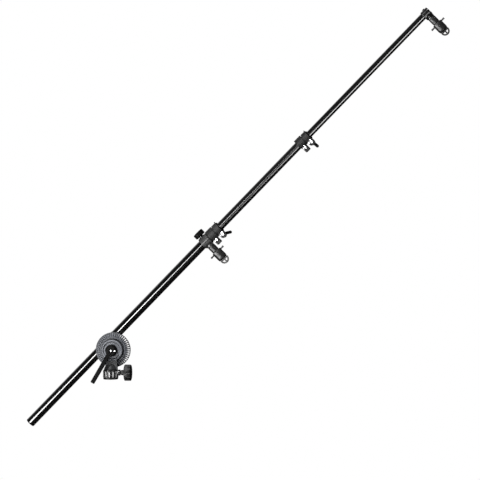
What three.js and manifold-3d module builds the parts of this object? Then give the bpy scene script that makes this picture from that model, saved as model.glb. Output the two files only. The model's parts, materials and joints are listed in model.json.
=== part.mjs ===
// Reflector holder arm: a tilting grip head on a stand socket, a three-section telescopic
// arm that slides through the head, and two spring clips that hold a reflector's rim.
// Millimetres, +Z up. The origin is the centre of the stand socket's mouth. The arm lies
// behind the socket, on its +Y side, and rises towards +X.

import * as THREE from "three";
import { mergeVertices } from "three/addons/utils/BufferGeometryUtils.js";
import Module from "manifold-3d";

const wasm = await Module();
wasm.setup();

// Shared allowances
const CLEARANCE = 0.3; // gap between two pieces that seat on each other
const OVERRUN = 2; // how far a cutting shape runs past the face it cuts

// Counts of sides
const LARGE_SIDES = 40;
const TUBE_SIDES = 24;
const SMALL_SIDES = 12;
const HEX_SIDES = 6;
const FLUTE_SIDES = 6;
const WIRE_SIDES = 5;
const CURL_STEPS = 8;
const ROUND_STEPS = 4;

// Shares of a knob's own sizes
const CROWN_MIDDLE_SHARE = 0.75; // how much of the crown is reached at half the radius
const FLUTE_CENTRE_SHARE = 0.12; // how far a flute's centre lies outside the rim
const KNOB_BORE_SHARE = 0.6;

// Shares of the disc's and the socket's own sizes
const RIB_WIDTH_SHARE = 0.45; // of the distance from rib to rib
const RIB_SINK_SHARE = 0.25; // how far a socket rib's centre lies inside the barrel
const PLUG_EDGE_SHARE = 0.5; // the plug's rounded edge, of its flange
const GAP_DEPTH_SHARE = 0.35; // how much of a lock's wall is left under the ear gap
const NECK_EDGE_SHARE = 0.15; // the clip neck's chamfer, of its radius
const SLEEVE_EDGE_SHARE = 0.1; // the clip sleeve's chamfer, of its radius
const SHOULDER_TOP_SHARE = 0.62; // the dome's top, of the socket's diameter

// The arm's attitude and layout
const ARM_TILT_DEGREES = 45.5; // above the horizontal
const PIVOT_HEIGHT = 68.6; // from the socket mouth to the tilt axis
const PIVOT_OFFSET = 4.5; // from the socket's axis to the tilt axis, along +X
const TUBE_OFFSET = 22.5; // from the tilt axis to the tube axis
const HEAD_PLACE = 265; // from the arm's lower end to the tilt axis
const TUBE_2_SHOWN = 266; // bare middle tube between the two locks
const TUBE_3_SHOWN = 386; // bare thin tube between the upper lock and the end block

// Tubes
const TUBE_1_DIAMETER = 22;
const TUBE_2_DIAMETER = 19;
const TUBE_3_DIAMETER = 16;
const TUBE_1_WALL = 1.1;
const TUBE_2_WALL = 1.1;
const TUBE_3_WALL = 1;
const TUBE_1_LENGTH = 628;
const TUBE_2_LENGTH = 600;
const TUBE_3_LENGTH = 590;
const PLUG_DEPTH = 14; // how far an end plug reaches into its tube
const PLUG_FLANGE = 2.5;
const GUIDE_LENGTH = 9; // the part of a guide bush that shows below its tube

// Stand socket
const SOCKET_BORE_DIAMETER = 16.4; // takes a 16 mm stud
const SOCKET_DIAMETER = 35;
const SOCKET_HEIGHT = 23;
const SOCKET_BORE_DEPTH = 32;
const SOCKET_RIB_COUNT = 12;
const SOCKET_RIB_DIAMETER = 5;
const SOCKET_RIM_HEIGHT = 2.6;
const NECK_WIDTH = 24;
const NECK_SHOULDER_HEIGHT = 12; // dome that joins the socket to the neck
const SCREW_BOSS_DIAMETER = 14;
const SCREW_BOSS_REACH = 23.5; // from the socket axis
const SOCKET_SCREW_HEIGHT = 16; // above the socket mouth
const SOCKET_SCREW_DIAMETER = 8;
const SOCKET_PAD_DIAMETER = 10;
const SOCKET_PAD_LENGTH = 3;
const SOCKET_PAD_TRAVEL = 3.75; // three turns of a 1.25 mm thread
const SOCKET_KNOB_DIAMETER = 38;
const SOCKET_KNOB_THICKNESS = 16;
const SOCKET_KNOB_PLACE = 33; // from the socket axis to the knob's inner face
const SOCKET_KNOB_SKIRT_LENGTH = 8;
const SOCKET_KNOB_SKIRT_DIAMETER = 12;

// Knob rims, shared by the two knobs
const KNOB_FLUTE_COUNT = 12;
const KNOB_FLUTE_DIAMETER = 3.4;
const KNOB_CROWN_HEIGHT = 2; // how far the outer face swells
const KNOB_RIM_INSET = 1.4; // chamfer where the rim meets each face

// Hub, disc and clamp, along the tilt axis from the front
const HUB_DIAMETER = 49;
const HUB_FRONT = -10; // the ring's front face, from the socket axis
const HUB_RING_WIDTH = 4.2;
const HUB_RING_HEIGHT = 3;
const HUB_BACK = 4;
const DISC_DIAMETER = 82;
const DISC_THICKNESS = 10.6;
const DISC_RIB_COUNT = 48;
const DISC_RIB_BAND = 10; // width of the ribbed band at the rim
const DISC_RIB_HEIGHT = 1.2;
const DISC_RIM_CHAMFER = 2.2;
const DISC_STEP_HEIGHT = 1.2; // the ribbed band lies lower than the disc's middle
const JAW_WEB = 4; // from the disc's back to the liner's bore
const JAW_WALL = 2.6;
const JAW_LENGTH = 52; // along the tube
const JAW_SPLIT = 1.6;
const JAW_EAR_THICKNESS = 8;
const JAW_NEAR_REACH = 13; // past the tilt axis, away from the tube
const JAW_RIM_INSET = 0.6; // how far the jaw lies inside the disc's rim
const LINER_WALL = 1;
const LINER_LENGTH = 47;
const LINER_SLOT = 3;

// Tilt bolt, its spring and its lever
const BOLT_DIAMETER = 8;
const BOLT_HEAD_SIDE = 13;
const BOLT_HEAD_HEIGHT = 5.5;
const SPRING_DIAMETER = 14;
const SPRING_WIRE = 1.4;
const SPRING_POCKET_DEPTH = 5; // into the hub and into the disc
const SPRING_POCKET_DIAMETER = 15.6;
const WASHER_DIAMETER = 20;
const WASHER_THICKNESS = 1.6;
const LEVER_BOSS_DIAMETER = 28;
const LEVER_BOSS_HEIGHT = 14;
const LEVER_BOSS_CROWN = 3;
const LEVER_LENGTH = 87; // from the tilt axis to the tip
const LEVER_WIDTH = 10.6;
const LEVER_THICKNESS = 7;
const LEVER_RISE = 9; // how far the tip stands out from the root
const LEVER_EDGE = 1.6;
const LEVER_HANG_DEGREES = 60; // below the horizontal, towards -X
const CAP_SCREW_DIAMETER = 5;
const CAP_HEAD_DIAMETER = 9;
const CAP_HEAD_HEIGHT = 3;
const BOLT_IN_BOSS = 7; // how far the bolt reaches into the lever's boss
const CAP_RECESS_DEPTH = 1.4;
const CAP_SCREW_GRIP = 4; // how far the cap screw reaches into the bolt
const CAP_HEX_DIAMETER = 4.6;

// Section locks
const LOCK_LENGTH = 35;
const LOCK_GRIP_LENGTH = 21; // the thick part that holds the outer tube
const LOCK_TUBE_DEPTH = 18; // how far the outer tube reaches into the lock
const LOCK_WALL = 2.6;
const LOCK_NECK_WALL = 1.6; // wall of the thin part that closes on the inner tube
const LOCK_SLIT = 3;
const LOCK_EAR_GAP = 3.4; // between the two ears, along the arm
const LOCK_EAR_THICKNESS = 6.4;
const LOCK_LOWER_EAR_WIDTH = 12;
const LOCK_LOWER_EAR_REACH = 10.6; // past the bolt
const LOCK_UPPER_EAR_RADIUS = 7;
const LOCK_UPPER_EAR_REACH = 10;
const LOCK_BOLT_OFFSET = 5.4; // from the outer tube's surface to the bolts
const LOCK_LOWER_BOLT_PLACE = 9; // from the lock's lower end
const LOCK_UPPER_BOLT_PLACE = 28;
const LOCK_SPINE_WIDTH = 12;
const LOCK_SPINE_HEIGHT = 1.6;
const LOCK_TAB_LENGTH = 3;
const LOCK_TAB_REACH = 3.4; // past the thin part's surface
const LOCK_LINER_FLANGE = 1.4;
const LOCK_LINER_SLOT = 2;
const LOCK_BOLT_DIAMETER = 5;
const LOCK_LOWER_HEAD_DIAMETER = 8.4;
const LOCK_UPPER_HEAD_DIAMETER = 11;
const LOCK_HEAD_HEIGHT = 2.4;
const LOCK_NUT_DIAMETER = 9.2;
const LOCK_NUT_HEIGHT = 4;
const LOCK_LEVER_HUB_DIAMETER = 12;
const LOCK_LEVER_HUB_HEIGHT = 8;
const LOCK_LEVER_LENGTH = 20.5; // from its bolt to the tip
const LOCK_LEVER_WIDTH = 7.4;
const LOCK_LEVER_THICKNESS = 5;
const LOCK_1_LEVER_DEGREES = 58; // from square across the arm, towards its upper end
const LOCK_2_LEVER_DEGREES = 4;
const LOCK_CAP_NUT_HEIGHT = 3.4;

// Slider on the thick tube
const SLIDER_LENGTH = 22;
const SLIDER_WALL = 2;
const SLIDER_LINER_WALL = 0.9;
const SLIDER_LINER_SLOT = 2;
const SLIDER_SCREW_PLACE = 11; // from the slider's lower end
const SLIDER_BOSS_DIAMETER = 13;
const SLIDER_BOSS_HEIGHT = 1;
const SLIDER_SCREW_DIAMETER = 6;
const SLIDER_PAD_DIAMETER = 6;
const SLIDER_PAD_LENGTH = 1.6;
const SLIDER_KNOB_DIAMETER = 26;
const SLIDER_KNOB_THICKNESS = 12;
const SLIDER_KNOB_SKIRT_LENGTH = 1;
const SLIDER_KNOB_SKIRT_DIAMETER = 9;
const SLIDER_KNOB_LIFT = 0.5; // bare screw between the boss and the knob's skirt

// End block on the thin tube
const END_BLOCK_LENGTH = 19;
const END_BLOCK_WALL = 2;
const END_BLOCK_TUBE_DEPTH = 14;
const END_BLOCK_CLIP_PLACE = 10.5; // from the block's lower end
const END_SCREW_DIAMETER = 4;
const END_SCREW_HEAD_DIAMETER = 6.6;
const END_SCREW_HEAD_HEIGHT = 1.4;

// Spring clips, measured out from the tube axis
const CLIP_SEAT = 17; // where the clip turns on its carrier
const CLIP_BOSS_DIAMETER = 18;
const CLIP_PIN_DIAMETER = 6;
const CLIP_PIN_HEAD_DIAMETER = 10;
const CLIP_PIN_HEAD_HEIGHT = 1.6;
const CLIP_PIN_REACH = 25;
const CLIP_NECK_END = 33; // inside the sleeve's rear end
const CLIP_NECK_DIAMETER = 18;
const CLIP_CORE_DIAMETER = 11;
const CLIP_CORE_END = 53.6;
const CLIP_STEM_WIDTH = 4.4;
const CLIP_LIP_REACH = 5; // from the clip's axis forward
const CLIP_BAR_PLACE = 37;
const CLIP_BAR_DIAMETER = 3.8;
const CLIP_BAR_SPAN = 41;
const CLIP_BAR_TIP_DIAMETER = 4.6;
const CLIP_BAR_TIP_LENGTH = 3;
const CLIP_TRAVEL = 6.5; // how far the sleeve pulls back
const CLIP_SLEEVE_START = 33.4;
const CLIP_SLEEVE_END = 57;
const CLIP_SLEEVE_DIAMETER = 24;
const CLIP_SLEEVE_MOUTH_DIAMETER = 21;
const CLIP_SLEEVE_ROUND_START = 50;
const CLIP_SPRING_DIAMETER = 14.4;
const CLIP_SPRING_WIRE = 1.2;
const CLIP_SPRING_CURLS = 4;
const CLIP_SPRING_START = 42;
const CLIP_SPRING_END = 55;
const CLIP_COLLAR_THICKNESS = 2; // the stop on the core that the spring pushes on
const CLIP_HOOK_WIDTH = 22;
const CLIP_HOOK_THICKNESS = 3;
const CLIP_HOOK_END = 70.5;
const CLIP_LIP_THICKNESS = 3;
const CLIP_RIB_WIDTH = 3.2;
const CLIP_LEG_WIDTH = 3.8;
const CLIP_WINDOW_END = 66.5; // just short of the lip

// Places that follow from the sizes above
const TUBE_1_RADIUS = TUBE_1_DIAMETER / 2;
const JAW_BORE = TUBE_1_RADIUS + CLEARANCE + LINER_WALL + CLEARANCE;
const DISC_FRONT = HUB_BACK + CLEARANCE;
const DISC_BACK = DISC_FRONT + DISC_THICKNESS;
const TUBE_Y = DISC_BACK + JAW_WEB + JAW_BORE;
const JAW_EAR_BACK = TUBE_Y + JAW_SPLIT / 2 + JAW_EAR_THICKNESS;
const HUB_FACE = HUB_FRONT + HUB_RING_HEIGHT;
const WASHER_FRONT = HUB_FACE - CLEARANCE - WASHER_THICKNESS;
const BOSS_BACK = WASHER_FRONT - CLEARANCE;
const BOSS_FRONT = BOSS_BACK - LEVER_BOSS_HEIGHT;
const BOLT_FRONT = BOSS_BACK - BOLT_IN_BOSS;
const SOCKET_BORE_RADIUS = SOCKET_BORE_DIAMETER / 2;
const LOCK_1_PLACE = TUBE_1_LENGTH - LOCK_TUBE_DEPTH;
const LOCK_2_PLACE = LOCK_1_PLACE + LOCK_LENGTH + TUBE_2_SHOWN;
const TUBE_2_PLACE = LOCK_2_PLACE + LOCK_TUBE_DEPTH - TUBE_2_LENGTH;
const END_BLOCK_PLACE = LOCK_2_PLACE + LOCK_LENGTH + TUBE_3_SHOWN;
const TUBE_3_PLACE = END_BLOCK_PLACE + END_BLOCK_TUBE_DEPTH - TUBE_3_LENGTH;
const SLIDER_PLACE = LOCK_1_PLACE - CLEARANCE - SLIDER_LENGTH;
const ARM_TILT = THREE.MathUtils.degToRad(ARM_TILT_DEGREES);

// Solids

// Makes a closed geometry a solid whose faces point out.
function solidOf(geometry) {
  geometry.deleteAttribute("normal");
  geometry.deleteAttribute("uv");
  const merged = mergeVertices(geometry);
  const build = (triVerts) => {
    const vertProperties = merged.attributes.position.array;
    return new wasm.Manifold(new wasm.Mesh({ numProp: 3, vertProperties, triVerts }));
  };
  const triVerts = new Uint32Array(merged.index.array);
  const made = build(triVerts);
  return made.volume() < 0 ? build(triVerts.slice().reverse()) : made;
}

// Turns a geometry that was made along +Z to lie along another axis.
function along(axis, geometry) {
  if (axis === "x") geometry.rotateY(Math.PI / 2);
  if (axis === "y") geometry.rotateX(-Math.PI / 2);
  return geometry;
}

// A round bar or cone between two places on an axis, centred on the point at.
function cone(axis, radiusFrom, radiusTo, from, to, at = [0, 0, 0], sides = TUBE_SIDES) {
  const geometry = new THREE.CylinderGeometry(radiusTo, radiusFrom, to - from, sides);
  geometry.rotateX(Math.PI / 2);
  geometry.translate(0, 0, (from + to) / 2);
  return solidOf(along(axis, geometry).translate(...at));
}

function rod(axis, radius, from, to, at, sides) {
  return cone(axis, radius, radius, from, to, at, sides);
}

function pipe(axis, outer, inner, from, to, at, sides) {
  const hole = rod(axis, inner, from - OVERRUN, to + OVERRUN, at, sides);
  return rod(axis, outer, from, to, at, sides).subtract(hole);
}

// A turned piece: the profile's points are [radius, place on the axis].
function turned(axis, profile, at = [0, 0, 0], sides = TUBE_SIDES) {
  const points = profile.map(([radius, place]) => new THREE.Vector2(radius, place));
  const geometry = new THREE.LatheGeometry(points, sides);
  geometry.rotateX(Math.PI / 2);
  return solidOf(along(axis, geometry).translate(...at));
}

function block(low, high) {
  const size = high.map((value, i) => value - low[i]);
  const middle = high.map((value, i) => (value + low[i]) / 2);
  return solidOf(new THREE.BoxGeometry(...size).translate(...middle));
}

// A plate drawn in X and Z, between two places on Y.
function plate(shape, from, to, curveSegments = SMALL_SIDES / 2) {
  const settings = { depth: to - from, bevelEnabled: false, curveSegments };
  const geometry = new THREE.ExtrudeGeometry(shape, settings);
  return solidOf(geometry.rotateX(Math.PI / 2).translate(0, to, 0));
}

function join(...solids) {
  return solids.reduce((whole, piece) => whole.add(piece));
}

function cut(solid, ...cutters) {
  return cutters.reduce((rest, cutter) => rest.subtract(cutter), solid);
}

// Copies of a solid spread evenly round an axis through a point.
function around(axis, count, at, solid) {
  const copies = [];
  const turn = new THREE.Matrix4();
  const there = new THREE.Matrix4().makeTranslation(...at);
  const back = there.clone().invert();
  for (let i = 0; i < count; i += 1) {
    const angle = (2 * Math.PI * i) / count;
    if (axis === "x") turn.makeRotationX(angle);
    if (axis === "y") turn.makeRotationY(angle);
    if (axis === "z") turn.makeRotationZ(angle);
    const whole = there.clone().multiply(turn).multiply(back);
    copies.push(solid.transform(whole.elements));
  }
  return join(...copies);
}

// Finishes

function finish(color, roughness, metalness) {
  return { color, roughness, metalness };
}

const CAST_GREY = finish(0x6f7278, 0.5, 0.3);
const BLACK_PLASTIC = finish(0x141414, 0.5, 0);
const BLACK_TUBE = finish(0x0b0b0b, 0.2, 0.4);
const COLLAR_GREY = finish(0x4a4b4e, 0.5, 0);
const STEEL = finish(0xcfd0d2, 0.3, 0.9);
const DARK_STEEL = finish(0x2c2c2e, 0.4, 0.8);
const RUBBER = finish(0x1a1a1a, 0.9, 0);
const CLEAR_PLASTIC = finish(0xb9b4a6, 0.5, 0);
const CLIP_GREY = finish(0x5d5f63, 0.5, 0);

// A named mesh from a solid, added to its group.
function addPiece(group, name, solid, look) {
  const { vertProperties, triVerts } = solid.getMesh();
  const geometry = new THREE.BufferGeometry();
  geometry.setAttribute("position", new THREE.BufferAttribute(vertProperties, 3));
  geometry.setIndex(new THREE.BufferAttribute(triVerts, 1));
  geometry.computeVertexNormals();
  const mesh = new THREE.Mesh(geometry, new THREE.MeshStandardMaterial(look));
  mesh.name = name;
  group.add(mesh);
}

// A hand knob along +X whose inner face is at zero: a cone skirt, a fluted rim and a
// crowned outer face, with a blind bore for its screw.
function knobSolid(diameter, thickness, skirtLength, skirtDiameter, boreDiameter) {
  const radius = diameter / 2;
  const rim = thickness - KNOB_CROWN_HEIGHT;
  const body = turned("x", [
    [0, -skirtLength],
    [skirtDiameter / 2, -skirtLength],
    [radius - KNOB_FLUTE_DIAMETER - KNOB_RIM_INSET, 0],
    [radius - KNOB_RIM_INSET, 0],
    [radius, KNOB_RIM_INSET],
    [radius, rim - KNOB_RIM_INSET],
    [radius - KNOB_RIM_INSET, rim],
    [radius / 2, rim + KNOB_CROWN_HEIGHT * CROWN_MIDDLE_SHARE],
    [0, thickness],
  ], [0, 0, 0], LARGE_SIDES);
  const flute = rod("x", KNOB_FLUTE_DIAMETER / 2, -OVERRUN, thickness + OVERRUN,
    [0, 0, radius + KNOB_FLUTE_DIAMETER * FLUTE_CENTRE_SHARE], FLUTE_SIDES);
  const bore = rod("x", boreDiameter / 2 + CLEARANCE, -skirtLength - OVERRUN,
    thickness * KNOB_BORE_SHARE, [0, 0, 0], SMALL_SIDES);
  return cut(body, around("x", KNOB_FLUTE_COUNT, [0, 0, 0], flute), bore);
}

const root = new THREE.Group();

// Grip head: the front half, with the hub, the neck and the ribbed stand socket in one
// casting.
function addSocketHead(group) {
  const hubRadius = HUB_DIAMETER / 2;
  const pivot = [PIVOT_OFFSET, 0, PIVOT_HEIGHT];
  const hub = rod("y", hubRadius, HUB_FACE, HUB_BACK, pivot, LARGE_SIDES);
  const ring = turned("y", [
    [hubRadius, HUB_FACE + OVERRUN],
    [hubRadius, HUB_FRONT + HUB_RING_HEIGHT / 2],
    [hubRadius - HUB_RING_WIDTH / 2, HUB_FRONT],
    [hubRadius - HUB_RING_WIDTH, HUB_FACE - HUB_RING_HEIGHT / 2],
    [hubRadius - HUB_RING_WIDTH, HUB_FACE + OVERRUN],
    [hubRadius, HUB_FACE + OVERRUN],
  ], pivot, LARGE_SIDES);
  const neck = block([PIVOT_OFFSET - NECK_WIDTH / 2, HUB_FACE, SOCKET_HEIGHT - OVERRUN],
    [PIVOT_OFFSET + NECK_WIDTH / 2, HUB_BACK, PIVOT_HEIGHT]);
  const socketRadius = SOCKET_DIAMETER / 2;
  const shoulder = cone("z", socketRadius, socketRadius * SHOULDER_TOP_SHARE, SOCKET_HEIGHT,
    SOCKET_HEIGHT + NECK_SHOULDER_HEIGHT);
  const barrel = rod("z", socketRadius, 0, SOCKET_HEIGHT);
  const rib = rod("z", SOCKET_RIB_DIAMETER / 2, SOCKET_RIM_HEIGHT, SOCKET_HEIGHT,
    [socketRadius - SOCKET_RIB_DIAMETER * RIB_SINK_SHARE, 0, 0], FLUTE_SIDES);
  const ribs = around("z", SOCKET_RIB_COUNT, [0, 0, 0], rib);
  const boss = rod("x", SCREW_BOSS_DIAMETER / 2, SOCKET_BORE_RADIUS + OVERRUN,
    SCREW_BOSS_REACH, [0, 0, SOCKET_SCREW_HEIGHT]);
  const bore = rod("z", SOCKET_BORE_RADIUS, -OVERRUN, SOCKET_BORE_DEPTH);
  const padPocket = rod("x", SOCKET_PAD_DIAMETER / 2 + CLEARANCE, 0,
    SOCKET_BORE_RADIUS + SOCKET_PAD_LENGTH + SOCKET_PAD_TRAVEL + CLEARANCE,
    [0, 0, SOCKET_SCREW_HEIGHT], SMALL_SIDES);
  const screwBore = rod("x", SOCKET_SCREW_DIAMETER / 2 + CLEARANCE, 0,
    SCREW_BOSS_REACH + OVERRUN, [0, 0, SOCKET_SCREW_HEIGHT], SMALL_SIDES);
  const discRoom = rod("y", DISC_DIAMETER / 2 + CLEARANCE + CLEARANCE, HUB_BACK,
    DISC_BACK + CLEARANCE, pivot, LARGE_SIDES);
  const boltBore = rod("y", BOLT_DIAMETER / 2 + CLEARANCE, HUB_FRONT - OVERRUN,
    HUB_BACK + OVERRUN, pivot, SMALL_SIDES);
  const springPocket = rod("y", SPRING_POCKET_DIAMETER / 2, HUB_BACK - SPRING_POCKET_DEPTH,
    HUB_BACK + OVERRUN, pivot, SMALL_SIDES);
  const outside = join(hub, ring, neck, shoulder, barrel, ribs, boss);
  const solid = cut(outside, bore, padPocket, screwBore, discRoom, boltBore, springPocket);
  addPiece(group, "socket_head", solid, CAST_GREY);
}

// The socket's clamping screw: a pad that travels without turning, the screw and its knob.
function addSocketClamp(group) {
  const at = [0, 0, SOCKET_SCREW_HEIGHT];
  const padEnd = SOCKET_BORE_RADIUS + SOCKET_PAD_LENGTH;
  const pad = rod("x", SOCKET_PAD_DIAMETER / 2, SOCKET_BORE_RADIUS, padEnd, at, SMALL_SIDES);
  addPiece(group, "socket_clamp_pad", pad, STEEL);
  const screw = rod("x", SOCKET_SCREW_DIAMETER / 2, padEnd + CLEARANCE,
    SOCKET_KNOB_PLACE + SOCKET_KNOB_THICKNESS * KNOB_BORE_SHARE - CLEARANCE, at, SMALL_SIDES);
  addPiece(group, "socket_clamp_screw", screw, STEEL);
  const knob = knobSolid(SOCKET_KNOB_DIAMETER, SOCKET_KNOB_THICKNESS,
    SOCKET_KNOB_SKIRT_LENGTH, SOCKET_KNOB_SKIRT_DIAMETER, SOCKET_SCREW_DIAMETER);
  const holder = new THREE.Group();
  holder.position.set(SOCKET_KNOB_PLACE, 0, SOCKET_SCREW_HEIGHT);
  group.add(holder);
  addPiece(holder, "socket_clamp_knob", knob, BLACK_PLASTIC);
}

// The tilting half: the ribbed disc with a split clamp ring for the tube behind it. Its
// origin is on the tilt axis.
function addClampDisc(group) {
  const radius = DISC_DIAMETER / 2;
  const bandFloor = DISC_FRONT + DISC_STEP_HEIGHT;
  const disc = turned("y", [
    [0, DISC_FRONT],
    [radius - DISC_RIB_BAND, DISC_FRONT],
    [radius - DISC_RIB_BAND, bandFloor],
    [radius - DISC_RIM_CHAMFER / 2, bandFloor],
    [radius, bandFloor + DISC_RIM_CHAMFER / 2],
    [radius, DISC_BACK - DISC_RIM_CHAMFER],
    [radius - DISC_RIM_CHAMFER, DISC_BACK],
    [0, DISC_BACK],
  ], [0, 0, 0], LARGE_SIDES);
  const ribPitch = (2 * Math.PI * radius) / DISC_RIB_COUNT;
  const ribHalf = (ribPitch * RIB_WIDTH_SHARE) / 2;
  const rib = block(
    [radius - DISC_RIB_BAND - DISC_STEP_HEIGHT, bandFloor - DISC_RIB_HEIGHT, -ribHalf],
    [radius - DISC_RIM_CHAMFER, bandFloor + DISC_STEP_HEIGHT, ribHalf],
  );
  const ribs = around("y", DISC_RIB_COUNT, [0, 0, 0], rib);
  const half = JAW_LENGTH / 2;
  const jawRadius = JAW_BORE + JAW_WALL;
  const tubeAt = [0, TUBE_Y, TUBE_OFFSET];
  const saddle = rod("x", jawRadius, -half, half, tubeAt, LARGE_SIDES);
  const bridge = block([-half, DISC_BACK - OVERRUN, TUBE_OFFSET - jawRadius],
    [half, TUBE_Y, TUBE_OFFSET + jawRadius]);
  const ears = block([-half, DISC_BACK - OVERRUN, -JAW_NEAR_REACH],
    [half, JAW_EAR_BACK, TUBE_OFFSET - JAW_BORE]);
  const outline = rod("y", radius - JAW_RIM_INSET, DISC_BACK - OVERRUN,
    TUBE_Y + jawRadius + OVERRUN, [0, 0, 0], LARGE_SIDES);
  const jaw = join(saddle, bridge, ears).intersect(outline);
  const bore = rod("x", JAW_BORE, -half - OVERRUN, half + OVERRUN, tubeAt, LARGE_SIDES);
  const slit = block([-half - OVERRUN, TUBE_Y - JAW_SPLIT / 2, -JAW_NEAR_REACH - OVERRUN],
    [half + OVERRUN, TUBE_Y + JAW_SPLIT / 2, TUBE_OFFSET]);
  const boltBore = rod("y", BOLT_DIAMETER / 2 + CLEARANCE, DISC_FRONT - OVERRUN,
    JAW_EAR_BACK + OVERRUN, [0, 0, 0], SMALL_SIDES);
  const springPocket = rod("y", SPRING_POCKET_DIAMETER / 2, DISC_FRONT - OVERRUN,
    DISC_FRONT + SPRING_POCKET_DEPTH, [0, 0, 0], SMALL_SIDES);
  const solid = cut(join(disc, ribs, jaw), bore, slit, boltBore, springPocket);
  addPiece(group, "clamp_disc", solid, CAST_GREY);
}

// The liner that lets the tube slide and turn in the clamp ring.
function addClampLiner(group) {
  const inner = TUBE_1_RADIUS + CLEARANCE;
  const half = LINER_LENGTH / 2;
  const at = [0, TUBE_Y, TUBE_OFFSET];
  const ring = pipe("x", inner + LINER_WALL, inner, -half, half, at);
  const slot = block([-half - OVERRUN, TUBE_Y - LINER_SLOT / 2, TUBE_OFFSET - JAW_BORE],
    [half + OVERRUN, TUBE_Y + LINER_SLOT / 2, TUBE_OFFSET]);
  addPiece(group, "clamp_liner", cut(ring, slot), CLEAR_PLASTIC);
}

// The tilt bolt with its square head behind the clamp ears, the release spring between
// the two halves, and the washer under the lever.
function addTiltBolt(group) {
  const headBack = JAW_EAR_BACK + CLEARANCE + BOLT_HEAD_HEIGHT;
  const side = BOLT_HEAD_SIDE / 2;
  const head = block([-side, JAW_EAR_BACK + CLEARANCE, -side], [side, headBack, side]);
  const shank = rod("y", BOLT_DIAMETER / 2, BOLT_FRONT, headBack - OVERRUN,
    [0, 0, 0], SMALL_SIDES);
  const tapped = rod("y", CAP_SCREW_DIAMETER / 2 + CLEARANCE, BOLT_FRONT - OVERRUN,
    BOLT_FRONT + CAP_SCREW_GRIP + CLEARANCE, [0, 0, 0], SMALL_SIDES);
  addPiece(group, "tilt_bolt", cut(join(head, shank), tapped), DARK_STEEL);
  const spring = pipe("y", SPRING_DIAMETER / 2, SPRING_DIAMETER / 2 - SPRING_WIRE,
    HUB_BACK - SPRING_POCKET_DEPTH + CLEARANCE, DISC_FRONT + SPRING_POCKET_DEPTH - CLEARANCE,
    [0, 0, 0], SMALL_SIDES);
  addPiece(group, "tilt_release_spring", spring, STEEL);
  const washer = pipe("y", WASHER_DIAMETER / 2, BOLT_DIAMETER / 2 + CLEARANCE,
    WASHER_FRONT, HUB_FACE - CLEARANCE);
  addPiece(group, "tilt_washer", washer, STEEL);
}

// The tilt lever, drawn along +X from the tilt axis and then hung at its angle, and the
// screw that keeps it on the bolt.
function addTiltLever(group) {
  const lever = new THREE.Group();
  lever.rotation.y = Math.PI - THREE.MathUtils.degToRad(LEVER_HANG_DEGREES);
  group.add(lever);
  const bossRadius = LEVER_BOSS_DIAMETER / 2;
  const boss = turned("y", [
    [0, BOSS_BACK],
    [bossRadius, BOSS_BACK],
    [bossRadius, BOSS_FRONT + LEVER_BOSS_CROWN],
    [bossRadius - LEVER_BOSS_CROWN, BOSS_FRONT],
    [0, BOSS_FRONT],
  ]);
  const side = new THREE.Shape([
    new THREE.Vector2(0, BOSS_FRONT),
    new THREE.Vector2(LEVER_LENGTH, BOSS_FRONT - LEVER_RISE),
    new THREE.Vector2(LEVER_LENGTH, BOSS_FRONT - LEVER_RISE + LEVER_THICKNESS),
    new THREE.Vector2(0, BOSS_FRONT + LEVER_THICKNESS),
  ]);
  const settings = {
    depth: LEVER_WIDTH - LEVER_EDGE - LEVER_EDGE,
    bevelThickness: LEVER_EDGE,
    bevelSize: LEVER_EDGE,
    bevelOffset: -LEVER_EDGE,
    bevelSegments: 1,
  };
  const bar = new THREE.ExtrudeGeometry(side, settings);
  bar.translate(0, 0, LEVER_EDGE - LEVER_WIDTH / 2);
  const boltBore = rod("y", BOLT_DIAMETER / 2 + CLEARANCE, BOLT_FRONT - CLEARANCE,
    BOSS_BACK + OVERRUN, [0, 0, 0], SMALL_SIDES);
  const screwBore = rod("y", CAP_SCREW_DIAMETER / 2 + CLEARANCE, BOSS_FRONT - OVERRUN,
    BOSS_BACK, [0, 0, 0], SMALL_SIDES);
  const headBack = BOSS_FRONT + CAP_RECESS_DEPTH + CAP_HEAD_HEIGHT;
  const recess = rod("y", CAP_HEAD_DIAMETER / 2 + CLEARANCE, BOSS_FRONT - OVERRUN,
    headBack + CLEARANCE, [0, 0, 0], SMALL_SIDES);
  const solid = cut(join(boss, solidOf(bar)), boltBore, screwBore, recess);
  addPiece(lever, "tilt_lever", solid, BLACK_PLASTIC);
  const screwHead = rod("y", CAP_HEAD_DIAMETER / 2, headBack - CAP_HEAD_HEIGHT, headBack,
    [0, 0, 0], SMALL_SIDES);
  const screwShank = rod("y", CAP_SCREW_DIAMETER / 2, headBack - CAP_HEAD_HEIGHT / 2,
    BOLT_FRONT + CAP_SCREW_GRIP, [0, 0, 0], SMALL_SIDES);
  const key = rod("y", CAP_HEX_DIAMETER / 2, headBack - CAP_HEAD_HEIGHT - OVERRUN,
    headBack - CAP_HEAD_HEIGHT / 2, [0, 0, 0], HEX_SIDES);
  addPiece(lever, "tilt_lever_screw", cut(join(screwHead, screwShank), key), STEEL);
}

// Tubes, in the arm's frame: +X runs up the arm on the tube axis, from the lower end.

function addTube(group, name, diameter, wall, place, length) {
  const radius = diameter / 2;
  const tube = pipe("x", radius, radius - wall, place, place + length);
  addPiece(group, name, tube, BLACK_TUBE);
}

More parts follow.
